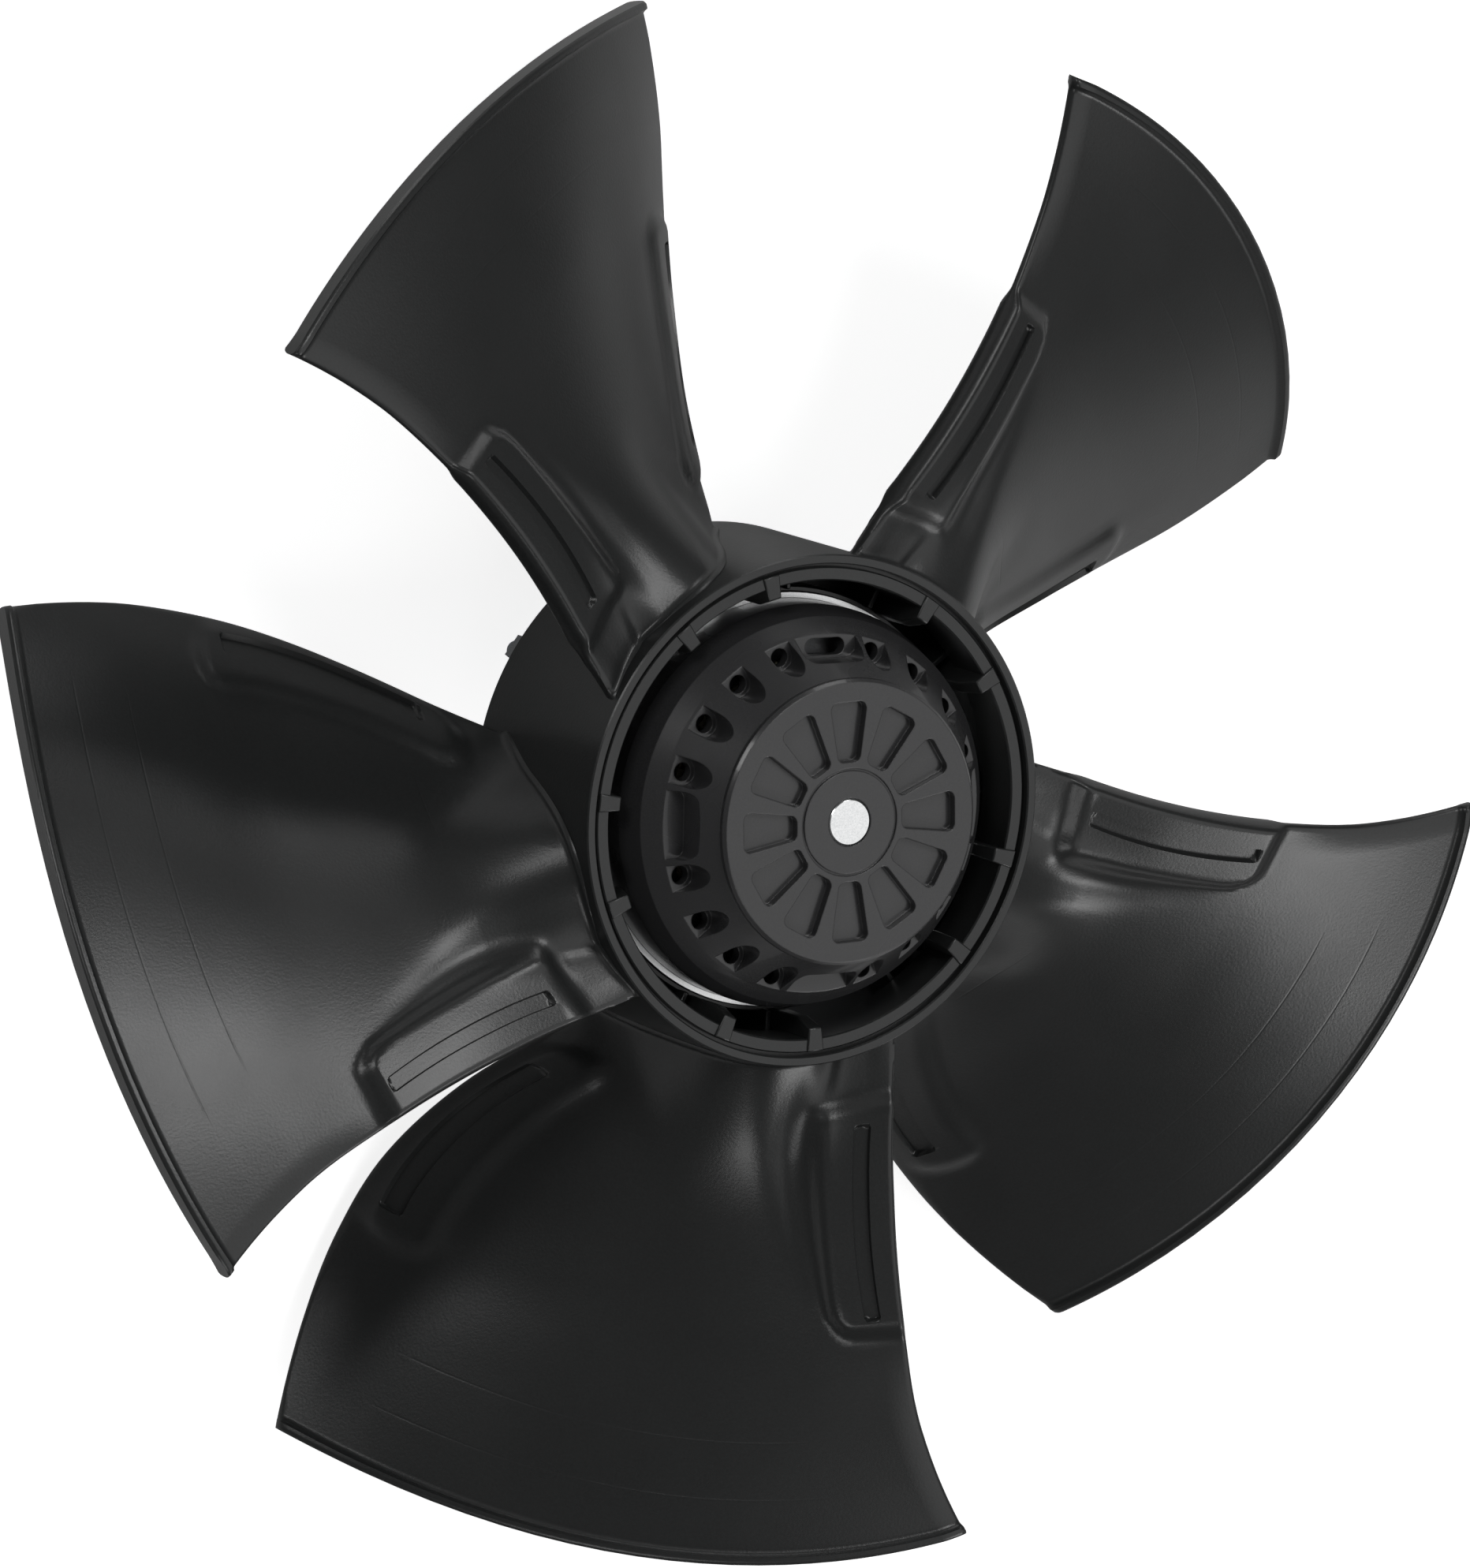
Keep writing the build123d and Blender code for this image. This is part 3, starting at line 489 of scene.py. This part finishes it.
def slot_off_edge(x, slot, edge_column):
    """Plan distance from a blade edge to the middle line of the slot beside it."""
    centre_x, centre_y, turn, _ = slot
    slot_y = centre_y + (x - centre_x) * math.tan(math.radians(turn)) + slot_bow(x, slot)
    return np.abs(along_stations(x, edge_column) - slot_y)


def slanted(y, end):
    """Place along the blade of a slanting pad end."""
    place, side, drift = end
    return place - (y - side) * drift


def front_pad_rise(x, y, pad_rise):
    """The front pad: a plateau, its wall wider towards the hub, over a trough and a low neck."""
    wall = np.interp(x, PAD_WALL_X, PAD_WALL)
    hub_end = slanted(y, PAD_HUB_END)
    tip_end = slanted(y, PAD_TIP_END)
    off_side = y - np.interp(x, PAD_EDGE_X, PAD_EDGE_Y) + wall
    off_tip = (tip_end - x) * (wall + PAD_FOOT) / PAD_TIP_WALL
    corner_y, corner_x = (np.maximum(PAD_CORNER - off, 0) for off in (off_side, off_tip))
    inside = PAD_CORNER - np.hypot(corner_y, corner_x)
    inside = np.where(inside < PAD_CORNER, inside, np.minimum(off_side, off_tip))
    side = smooth_step(inside, 0.0, wall + PAD_FOOT)
    ends = smooth_step(x, hub_end - PAD_HUB_RAMP, hub_end)
    plateau = pad_rise * side * ends
    neck = NECK_RISE * smooth_step(y, *NECK_Y) * (1 - smooth_step(x, *NECK_X))
    trough_y = np.interp(x, TROUGH_X, TROUGH_Y)
    trough_half = np.interp(x, TROUGH_X, TROUGH_HALF)
    depth = np.interp(x, TROUGH_X, TROUGH_DEPTH)
    trough = depth * np.exp(-(((y - trough_y) / trough_half) ** 2)) * (1 - side * ends)
    return plateau + neck - trough


def skin_rise(x, y, pad_rise):
    """Rise of the moulded skin over plain blade thickness: pads, trough and balance slots."""
    rear = box_distance(x, y, REAR_SLOT, REAR_PAD_SIZE, REAR_PAD_SHIFT, REAR_PAD_CORNER)
    rear_rise = REAR_PAD_RISE * (1 - smooth_step(rear, *REAR_PAD_WALL))
    rise = front_pad_rise(x, y, pad_rise) + rear_rise
    for slot in (FRONT_SLOT, REAR_SLOT):
        off_slot = box_distance(x, y, slot, SLOT_SIZE, 0.0, SLOT_CORNER)
        rise = rise - SLOT_DEPTH * (1 - smooth_step(off_slot, -SLOT_EASE, SLOT_EASE))
    return rise


def hair_lines(x, y, radius):
    """Depth of the fine witness lines of the mould inserts: arcs about the fan axis."""
    turn = np.degrees(np.arctan2(y, x))
    depth = np.zeros_like(x)
    for line_radius, low, high in HAIR_LINES:
        on_row = np.abs(radius - line_radius) < HAIR_REACH
        depth = depth + HAIR_DEPTH * on_row * smooth_step(turn, low, low + HAIR_FADE_DEGREES) * (
            1 - smooth_step(turn, high - HAIR_FADE_DEGREES, high))
    return depth


def blade_rows():
    """Radii of the rows from hub to tip, close together at slot ends, pad ends, lines and lip."""
    rows = [*HUB_ROWS, *(r for span in ROW_SPANS for r in np.arange(*span)), *TIP_ROWS]
    for line_radius, _, _ in HAIR_LINES:
        rows = [r for r in rows if abs(r - line_radius) > HAIR_CLEARANCE]
        rows += [line_radius + step for step in HAIR_ROWS]
    return np.array(sorted(rows))


def follow_slot(lines, x, slot, edge_column, nominal):
    """Line distances off an edge, shifted so that the slot's lines stay on its sides."""
    shift = slot_off_edge(x, slot, edge_column) - nominal
    shift = np.clip(shift, -FOLLOW_LIMIT, FOLLOW_LIMIT)
    places = (0.0, nominal - FOLLOW_NEAR, nominal + FOLLOW_NEAR, nominal + FOLLOW_FAR)
    return lines + shift * np.interp(lines, places, (0.0, 1.0, 1.0, 0.0))


def blade_plan(radius):
    """Plan places where the grid's lines, listed from front to rear edge, cross its rows."""
    front, rear, middle = FRONT_LINES, REAR_LINES, MIDDLE_SHARES
    x = np.repeat(radius * FIRST_GUESS, len(front) + len(rear) + len(middle), axis=1)
    first, last = slice(0, len(front)), slice(-len(rear), None)
    between = slice(len(front), -len(rear))
    for _ in range(PLAN_ROUNDS):
        front_y, rear_y = along_stations(x, FRONT_EDGE), along_stations(x, REAR_EDGE)
        tight = np.minimum(1.0, (front_y - rear_y) / FULL_CHORD)
        off_front = tight[:, first] * follow_slot(
            front, x[:, first], FRONT_SLOT, FRONT_EDGE, FRONT_SLOT_LINE)
        off_rear = tight[:, last] * follow_slot(
            rear[::-1], x[:, last], REAR_SLOT, REAR_EDGE, REAR_SLOT_LINE)
        y = np.concatenate([
            front_y[:, first] - off_front,
            (front_y[:, between] - front[-1] * tight[:, between]) * (1 - middle)
            + (rear_y[:, between] + rear[-1] * tight[:, between]) * middle,
            rear_y[:, last] + off_rear,
        ], axis=1)
        x = np.sqrt(np.maximum(radius ** 2 - y ** 2, 1.0))
    return x, y


def skin_faces(rows, lines):
    """Faces of two skins on one grid, with walls along the first and the last row."""
    back = rows * lines
    faces = []
    for i in range(rows - 1):
        for j in range(lines - 1):
            a = i * lines + j
            faces.append((a, a + lines, a + lines + 1, a + 1))
            faces.append((back + a, back + a + 1, back + a + lines + 1, back + a + lines))
    for i in (0, rows - 1):
        for j in range(lines - 1):
            a = i * lines + j
            faces.append((a, a + 1, back + a + 1, back + a))
    return faces


def blade_mesh(thickness, lip_thickness, pad_rise):
    """Points and faces of one closed blade along +X; its skins meet along both long edges."""
    radius = blade_rows()[:, None]
    x, y = blade_plan(radius)
    z = skin_height(x, y)
    step = SLOPE_STEP
    slope_x = (skin_height(x + step, y) - skin_height(x - step, y)) / (2 * step)
    slope_y = (skin_height(x, y + step) - skin_height(x, y - step)) / (2 * step)
    normal = np.stack([-slope_x, -slope_y, np.ones_like(z)], axis=-1)
    normal /= np.linalg.norm(normal, axis=-1, keepdims=True)
    middle_lines = np.full(len(MIDDLE_SHARES), FAR_OFF_EDGE)
    edge = np.concatenate([FRONT_LINES, middle_lines, REAR_LINES[::-1]])
    half = thickness / 2
    rounding = np.sqrt(np.clip(1 - (1 - np.clip(edge / half, 0, 1)) ** 2, 0, 1))
    lip_start = TIP_RADIUS - TIP_LIP_WIDTH
    before, behind = TIP_LIP_RAMP
    lip_rise = smooth_step(radius, lip_start - before, lip_start + behind)
    lip = (lip_thickness - thickness) / 2 * lip_rise
    corner_depth, corner_width = TIP_CORNER
    lip = lip - corner_depth * smooth_step(radius, TIP_RADIUS - corner_width, TIP_RADIUS)
    off_wall = np.clip(radius - HUB_RADIUS, 0, ROOT_FILLET)
    fillet = ROOT_FILLET - np.sqrt(ROOT_FILLET ** 2 - (ROOT_FILLET - off_wall) ** 2)
    plain = half + lip + fillet
    rise = skin_rise(x, y, pad_rise)
    front_skin = (plain + rise - hair_lines(x, y, radius)) * rounding
    rear_skin = (plain + np.maximum(rise, 0) * REAR_SKIN_SHARE) * rounding
    centre = np.stack([x, y, z], axis=-1)
    skins = [centre + normal * front_skin[..., None], centre - normal * rear_skin[..., None]]
    return np.concatenate([s.reshape(-1, 3) for s in skins]), skin_faces(*z.shape)


# ------------------------------------------------------------------ hub form
def hub_mesh():
    """Wall, grooved rim, stepped lip and sleeve of the hub."""
    wall_inner = HUB_RADIUS - HUB_WALL
    rim_inner = HUB_RADIUS - RIM_WIDTH
    lip_outer = LIP_INNER + LIP_WIDTH
    soft = HUB_ROUNDING
    rear = RIM_Z - HUB_LENGTH
    wall = turned([
        (HUB_RADIUS - soft, RIM_Z), (HUB_RADIUS, RIM_Z - soft), (HUB_RADIUS, rear + soft),
        (HUB_RADIUS - soft, rear), (wall_inner + soft, rear), (wall_inner, rear + soft),
        (wall_inner, RIM_Z - LIP_DEPTH - LIP_STEP), (LIP_INNER, RIM_Z - LIP_DEPTH),
        (LIP_INNER, RIM_Z - LIP_DROP - soft), (LIP_INNER + soft, RIM_Z - LIP_DROP),
        (lip_outer - soft, RIM_Z - LIP_DROP), (lip_outer, RIM_Z - LIP_DROP - soft),
        (lip_outer, RIM_Z - RIM_GROOVE_DEPTH), (rim_inner, RIM_Z - RIM_GROOVE_DEPTH),
        (rim_inner, RIM_Z - soft), (rim_inner + soft, RIM_Z),
    ], HUB_SEGMENTS)
    top = RIM_Z - SLEEVE_DROP
    low = top - SLEEVE_LENGTH
    outside, inside = SLEEVE_CHAMFERS
    sleeve = turned([
        (SLEEVE_OUTER, low), (SLEEVE_OUTER, top - outside), (SLEEVE_OUTER - outside, top),
        (SLEEVE_INNER + inside, top), (SLEEVE_INNER, top - inside), (SLEEVE_INNER, low),
    ], SLEEVE_SEGMENTS)
    return joined(wall, sleeve)


def tab_mesh():
    """One tapered tie between sleeve and hub wall, its front end sloping down to the sleeve."""
    inner_offset, outer_offset = TAB_END_OFFSETS
    inner, outer = SLEEVE_INNER + inner_offset, LIP_INNER + LIP_WIDTH - outer_offset
    face = TAB_FACE_RADIUS
    narrow, wide = TAB_WIDTHS
    top, bottom, slope = RIM_Z - TAB_DROP, RIM_Z - TAB_DEPTH, RIM_Z - TAB_SLOPE_DEPTH
    profile = [(outer, bottom), (outer, top), (face, top), (inner, slope), (inner, bottom)]
    width = {outer: wide, face: narrow + TAB_FACE_SPREAD, inner: narrow}
    points = [(r, sign * width[r] / 2, z) for sign in (1, -1) for r, z in profile]
    count = len(profile)
    ends = [tuple(range(count)), tuple(reversed(range(count, 2 * count)))]
    return points, ends + prism_sides(count)


def bridge_mesh():
    """One box bridge: a curved floor and its three ribs."""
    into_sleeve, into_wall = BRIDGE_SINKS
    inner, outer = SLEEVE_OUTER - into_sleeve, HUB_RADIUS - HUB_WALL + into_wall
    floor_low, floor_high = (RIM_Z - drop for drop in BRIDGE_FLOOR_DROPS)
    rib_high = RIM_Z - BRIDGE_RIB_DROP
    half = math.radians(BRIDGE_HALF)
    steps = np.linspace(-half, half, BRIDGE_STEPS)
    outline = [(outer * math.cos(a), outer * math.sin(a)) for a in steps]
    outline += [(inner * math.cos(a), inner * math.sin(a)) for a in steps[::-1]]
    parts = [upright_prism(outline, floor_low, floor_high)]
    side = BRIDGE_RIB_HALF
    corners = [(inner, -side), (outer, -side), (outer, side), (inner, side)]
    for angle in (-half, 0.0, half):
        c, s = math.cos(angle), math.sin(angle)
        turned_corners = [(r * c - t * s, r * s + t * c) for r, t in corners]
        parts.append(upright_prism(turned_corners, floor_low, rib_high))
    return joined(*parts)


# ------------------------------------------------------------------ repeats
def baked(piece):
    """The piece with its modifiers made into its mesh."""
    shown = piece.evaluated_get(bpy.context.evaluated_depsgraph_get())
    mesh = bpy.data.meshes.new_from_object(shown)
    piece.modifiers.clear()
    old, piece.data = piece.data, mesh
    bpy.data.meshes.remove(old)
    return piece


def polar_tree():
    """Geometry Nodes: copies of a form round the fan axis, made real and given their finish."""
    tree = bpy.data.node_groups.new("round_the_axis", "GeometryNodeTree")
    face = tree.interface
    face.new_socket("Geometry", in_out="INPUT", socket_type="NodeSocketGeometry")
    sockets = {
        name: face.new_socket(name, in_out="INPUT", socket_type=f"NodeSocket{kind}").identifier
        for name, kind in (("Count", "Int"), ("Start angle", "Float"), ("Step angle", "Float"),
                           ("Finish", "Material"))}
    face.new_socket("Geometry", in_out="OUTPUT", socket_type="NodeSocketGeometry")
    given = add_node(tree, "NodeGroupInput").outputs
    line = add_node(tree, "GeometryNodeMeshLine", {"Count": given["Count"], "Offset": (0, 0, 0)})
    index = add_node(tree, "GeometryNodeInputIndex")
    turn = add_node(tree, "ShaderNodeMath", {
        0: index.outputs[0], 1: given["Step angle"], 2: given["Start angle"]},
        operation="MULTIPLY_ADD")
    facing = add_node(tree, "ShaderNodeCombineXYZ", {"Z": turn.outputs[0]})
    copies = add_node(tree, "GeometryNodeInstanceOnPoints", {
        "Points": line.outputs[0], "Instance": given["Geometry"], "Rotation": facing.outputs[0]})
    real = add_node(tree, "GeometryNodeRealizeInstances", {"Geometry": copies.outputs[0]})
    painted = add_node(tree, "GeometryNodeSetMaterial", {
        "Geometry": real.outputs[0], "Material": given["Finish"]})
    add_node(tree, "NodeGroupOutput", {"Geometry": painted.outputs[0]})
    return tree, sockets


def repeated(piece, count, start_degrees, material):
    """The piece repeated evenly round the fan axis and turned into a plain mesh."""
    tree, sockets = polar_tree()
    rule = piece.modifiers.new("round_the_axis", "NODES")
    rule.node_group = tree
    rule[sockets["Count"]] = count
    rule[sockets["Start angle"]] = math.radians(start_degrees)
    rule[sockets["Step angle"]] = FULL_TURN / count
    rule[sockets["Finish"]] = material
    return baked(piece)


def bevelled(piece, width):
    """The piece with its sharp edges rounded."""
    rounding = piece.modifiers.new("edges", "BEVEL")
    rounding.width = width
    rounding.segments = BEVEL_SEGMENTS
    rounding.limit_method = "ANGLE"
    rounding.angle_limit = math.radians(BEVEL_ANGLE)
    return baked(piece)


def merged(name, pieces, material):
    """Several mesh objects as one named piece of one finish."""
    work = bmesh.new()
    for piece in pieces:
        work.from_mesh(piece.data)
    mesh = bpy.data.meshes.new(name)
    work.to_mesh(mesh)
    work.free()
    mesh.materials.append(material)
    for face in mesh.polygons:
        face.material_index = 0
    for piece in pieces:
        bpy.data.objects.remove(piece)
    made = bpy.data.objects.new(name, mesh)
    bpy.context.scene.collection.objects.link(made)
    return made


# ------------------------------------------------------------------ operators
def length_prop(name, description, millimetres):
    """A length in the sidebar, with its size in the moulding as default."""
    return bpy.props.FloatProperty(name=name, description=description,
                                   default=millimetres * MM, min=0.0, unit="LENGTH")


def colour_prop(name, description, code):
    """A colour in the sidebar, with an sRGB hex code as default."""
    return bpy.props.FloatVectorProperty(name=name, description=description,
                                         default=linear(code), size=4, min=0.0, max=1.0,
                                         subtype="COLOR")


class FanSizes(bpy.types.PropertyGroup):
    """Sizes and colours that a user would change."""
    blade_thickness: length_prop("Blade thickness", "Plain wall of a blade", BLADE_THICKNESS)
    lip_thickness: length_prop(
        "Tip lip", "Thickness of the lip along each blade tip", TIP_LIP_THICKNESS)
    pad_rise: length_prop("Pad rise", "Height of the front balance pads over the blade", PAD_RISE)
    edge_rounding: length_prop(
        "Edge rounding", "Rounding of the edges of ties and bridges", EDGE_RADIUS)
    impeller_colour: colour_prop("Impeller", "Colour of the moulded impeller", POLYAMIDE_BLACK)
    bell_colour: colour_prop("Rotor bell", "Colour of the bell's stoving paint", PAINT_BLACK)
    flange_colour: colour_prop("Motor flange", "Colour of the cast metal", CAST_ALUMINIUM)


class FAN_OT_impeller(bpy.types.Operator):
    """Moulded impeller: swept blades with pads, ring hub, ties and bridges"""
    bl_idname = "fan.impeller"
    bl_label = "Impeller"

    def execute(self, context):
        sizes = context.scene.fan_sizes
        # glass-filled polyamide from a spark-eroded mould: satin, its highlights finely speckled
        coat = finish("moulded_polyamide", sizes.impeller_colour, 0.0, 0.3, 0.8, 0.035, 0.03)
        form = blade_mesh(sizes.blade_thickness / MM, sizes.lip_thickness / MM,
                          sizes.pad_rise / MM)
        blade = mesh_piece("blade", *form, smooth_degrees=50.0)
        hub = mesh_piece("hub", *hub_mesh(), smooth_degrees=30.0)
        parts = [repeated(blade, BLADES, BLADE_START, coat), repeated(hub, 1, 0.0, coat)]
        for angle in TAB_ANGLES:
            tab = bevelled(mesh_piece("tab", *tab_mesh()), sizes.edge_rounding)
            parts.append(repeated(tab, TAB_PAIRS, angle, coat))
        bridge = bevelled(mesh_piece("bridge", *bridge_mesh()), sizes.edge_rounding)
        parts.append(repeated(bridge, BRIDGES, BRIDGE_START, coat))
        piece = merged("impeller_moulding", parts, coat)
        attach(piece, "rotor")
        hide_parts("impeller")
        return {"FINISHED"}


class FAN_OT_rotor_finishes(bpy.types.Operator):
    """Finishes of the turning pieces of the motor"""
    bl_idname = "fan.rotor_finishes"
    bl_label = "Rotor finishes"

    def execute(self, context):
        colour = context.scene.fan_sizes.bell_colour
        # stoved powder paint over a deep-drawn bell: smooth satin, thin bright lines on its edges
        dress("satin_black_stoving_paint", (colour, 0.0, 0.27, 0.5, 0.006, 0.03, 0.6, 0.25),
              ["rotor_bell"])
        # cold-rolled strip, bent to a ring: bright, with a soft sheen along it
        dress("bright_rolled_steel", (linear(ROLLED_STEEL), 1.0, 0.3, 0.4, 0.002, 0.04, 0.2),
              ["clamp_ring"])
        # stamped and stacked sheets, blank iron: grey, half dull
        dress("stacked_lamination_steel", (linear(LAMINATION), 1.0, 0.45, 0.5, 0.01, 0.06),
              ["rotor_core"])
        # pressure-cast bars and rings, dipped in varnish: dark grey and slightly grainy
        dress("varnished_cage_aluminium", (linear(CAGE_GREY), 1.0, 0.5, 0.6, 0.02, 0.06),
              ["rotor_cage"])
        # centreless-ground steel: bright and even
        dress("ground_bearing_steel", (linear(SHAFT_STEEL), 1.0, 0.2, 0.5, 0.002, 0.03),
              ["shaft", "front_bearing_inner_ring", "rear_bearing_inner_ring"])
        # blued and oiled spring strip: dark with a wet gleam
        dress("oiled_spring_steel", (linear(SPRING_STEEL), 1.0, 0.35, 0.4, 0.004, 0.05),
              ["shaft_circlip"])
        # moulded nitrile: matt black
        dress("lip_seal_rubber", (linear(SEAL_BLACK), 0.0, 0.6, 0.5, 0.01, 0.05), ["dust_seal"])
        return {"FINISHED"}


class FAN_OT_stator_finishes(bpy.types.Operator):
    """Finishes of the standing pieces of the motor"""
    bl_idname = "fan.stator_finishes"
    bl_label = "Stator finishes"

    def execute(self, context):
        colour = context.scene.fan_sizes.flange_colour
        # pressure-cast and glass-bead blasted: pale, dull, with soft edges
        dress("blasted_cast_aluminium", (colour, 1.0, 0.5, 0.6, 0.03, 0.08, 0.4),
              ["motor_flange"])
        # stacked sheets dipped in resin: dark grey with a thin gloss
        dress("varnished_lamination_steel", (linear(LAMINATION), 1.0, 0.4, 0.5, 0.01, 0.06),
              ["stator_core"])
        # enamelled wire, wound and dipped: reddish, and uneven like the wires in it
        dress("enamelled_copper_wire", (linear(ENAMEL_COPPER), 0.6, 0.35, 0.9, 0.2, 0.08),
              ["winding"])
        # glass-filled nylon in its own colour: off-white and satin
        dress("glass_filled_nylon", (linear(NATURAL_NYLON), 0.0, 0.5, 0.6, 0.02, 0.05),
              ["front_end_plate", "rear_end_plate", "slot_wedges"])
        # through-hardened and ground rings: bright and even
        dress("ground_race_steel", (linear(SHAFT_STEEL), 1.0, 0.3, 0.5, 0.003, 0.04),
              ["front_bearing_outer_ring", "rear_bearing_outer_ring"])
        # blued spring strip: dark with a wet gleam
        dress("blued_spring_steel", (linear(SPRING_STEEL), 1.0, 0.38, 0.4, 0.004, 0.05),
              ["wave_spring"])
        # zinc electroplate on stamped and turned steel: cool, slightly cloudy
        dress("zinc_plated_steel", (linear(ZINC), 1.0, 0.38, 0.5, 0.005, 0.08, 0.2),
              ["bore_cover", "earth_screw", "earth_washer"])
        # injection-moulded nylon: near black, satin, with soft edges
        dress("moulded_gland_nylon", (linear(GLAND_BLACK), 0.0, 0.45, 0.5, 0.02, 0.05, 0.3),
              ["gland_body", "gland_nut"])
        return {"FINISHED"}


class FAN_OT_stage(bpy.types.Operator):
    """Pale floor, white surround, soft lamps and the camera"""
    bl_idname = "fan.stage"
    bl_label = "Stage"

    def execute(self, context):
        scene = context.scene
        scene.view_settings.view_transform = "Standard"
        self.floor(scene)
        self.surround(scene)
        self.lamps(scene)
        self.camera(scene)
        return {"FINISHED"}

    def floor(self, scene):
        """A pale floor that glows for the camera alone."""
        corners = [(x * FLOOR_HALF, y * FLOOR_HALF, FLOOR_Z)
                   for x, y in ((-1, -1), (1, -1), (1, 1), (-1, 1))]
        mesh = bpy.data.meshes.new("floor")
        mesh.from_pydata(corners, [], [(0, 1, 2, 3)])
        floor = bpy.data.objects.new("floor", mesh)
        scene.collection.objects.link(floor)
        paint = bpy.data.materials.new("pale_floor")
        paint.use_nodes = True
        tree = paint.node_tree
        tree.nodes.clear()
        rays = add_node(tree, "ShaderNodeLightPath")
        matt = add_node(tree, "ShaderNodeBsdfDiffuse", {"Color": linear(FLOOR_WHITE)})
        glow = add_node(tree, "ShaderNodeEmission", {"Color": WHITE, "Strength": FLOOR_GLOW})
        both = add_node(tree, "ShaderNodeAddShader", {0: matt.outputs[0], 1: glow.outputs[0]})
        seen = add_node(tree, "ShaderNodeMixShader", {
            0: rays.outputs["Is Camera Ray"], 1: matt.outputs[0], 2: both.outputs[0]})
        add_node(tree, "ShaderNodeOutputMaterial", {"Surface": seen.outputs[0]})
        mesh.materials.append(paint)

    def surround(self, scene):
        """White for the camera, white on one side in mirrored rays, and a dim fill elsewhere."""
        world = bpy.data.worlds.new("studio")
        scene.world = world
        world.use_nodes = True
        tree = world.node_tree
        tree.nodes.clear()
        rays = add_node(tree, "ShaderNodeLightPath")
        facing = add_node(tree, "ShaderNodeTexCoord")
        off_side = add_node(tree, "ShaderNodeVectorMath", {
            0: facing.outputs["Generated"], 1: WHITE_SIDE}, operation="DOT_PRODUCT")
        start, full = WHITE_SIDE_EDGE
        mirrored = add_node(tree, "ShaderNodeMapRange", {
            "Value": off_side.outputs["Value"], "From Min": start, "From Max": full,
            "To Min": FILL_LIGHT, "To Max": 1.0})
        strength = add_node(tree, "ShaderNodeMix", {
            0: rays.outputs["Is Glossy Ray"], 2: FILL_LIGHT, 3: mirrored.outputs[0]})
        light = add_node(tree, "ShaderNodeBackground", {
            "Color": WHITE, "Strength": strength.outputs[0]})
        white = add_node(tree, "ShaderNodeBackground", {"Color": WHITE, "Strength": 1.0})
        pick = add_node(tree, "ShaderNodeMixShader", {
            0: rays.outputs["Is Camera Ray"], 1: light.outputs[0], 2: white.outputs[0]})
        add_node(tree, "ShaderNodeOutputWorld", {"Surface": pick.outputs[0]})

    def lamps(self, scene):
        """Soft lamps round the fan."""
        target = Vector((0, 0, RIM_Z * MM))
        for name, place, power in LAMPS:
            data = bpy.data.lights.new(name, "AREA")
            data.size = LAMP_SIZE
            data.energy = power
            lamp = bpy.data.objects.new(name, data)
            lamp.location = place
            aim = target - lamp.location
            lamp.rotation_euler = aim.to_track_quat("-Z", "Y").to_euler()
            scene.collection.objects.link(lamp)

    def camera(self, scene):
        """The camera, with a long lens."""
        data = bpy.data.cameras.new("view")
        data.sensor_width = VIEW_SENSOR
        data.lens = VIEW_LENS
        data.shift_x, data.shift_y = VIEW_SHIFT
        data.clip_end = VIEW_END
        camera = bpy.data.objects.new("view", data)
        camera.location = VIEW_PLACE
        camera.rotation_euler = Euler([math.radians(a) for a in VIEW_TURN])
        scene.collection.objects.link(camera)
        scene.camera = camera


class FAN_PT_panel(bpy.types.Panel):
    """Pieces of the fan"""
    bl_label = "Axial Fan"
    bl_space_type = "VIEW_3D"
    bl_region_type = "UI"
    bl_category = "Axial Fan"

    def draw(self, context):
        sizes = context.scene.fan_sizes
        for name in FanSizes.__annotations__:
            self.layout.prop(sizes, name)
        for operator in OPERATORS:
            self.layout.operator(operator.bl_idname)


OPERATORS = (FAN_OT_impeller, FAN_OT_rotor_finishes, FAN_OT_stator_finishes, FAN_OT_stage)
CLASSES = (FanSizes, *OPERATORS, FAN_PT_panel)


def register():
    """Add the sizes, operators and panel."""
    for one in CLASSES:
        bpy.utils.register_class(one)
    bpy.types.Scene.fan_sizes = bpy.props.PointerProperty(type=FanSizes)


def unregister():
    """Take them away again."""
    del bpy.types.Scene.fan_sizes
    for one in reversed(CLASSES):
        bpy.utils.unregister_class(one)


def main():
    """Build every piece."""
    register()
    bpy.ops.fan.impeller()
    bpy.ops.fan.rotor_finishes()
    bpy.ops.fan.stator_finishes()
    bpy.ops.fan.stage()
    bpy.context.view_layer.update()


if __name__ == "__main__":
    main()
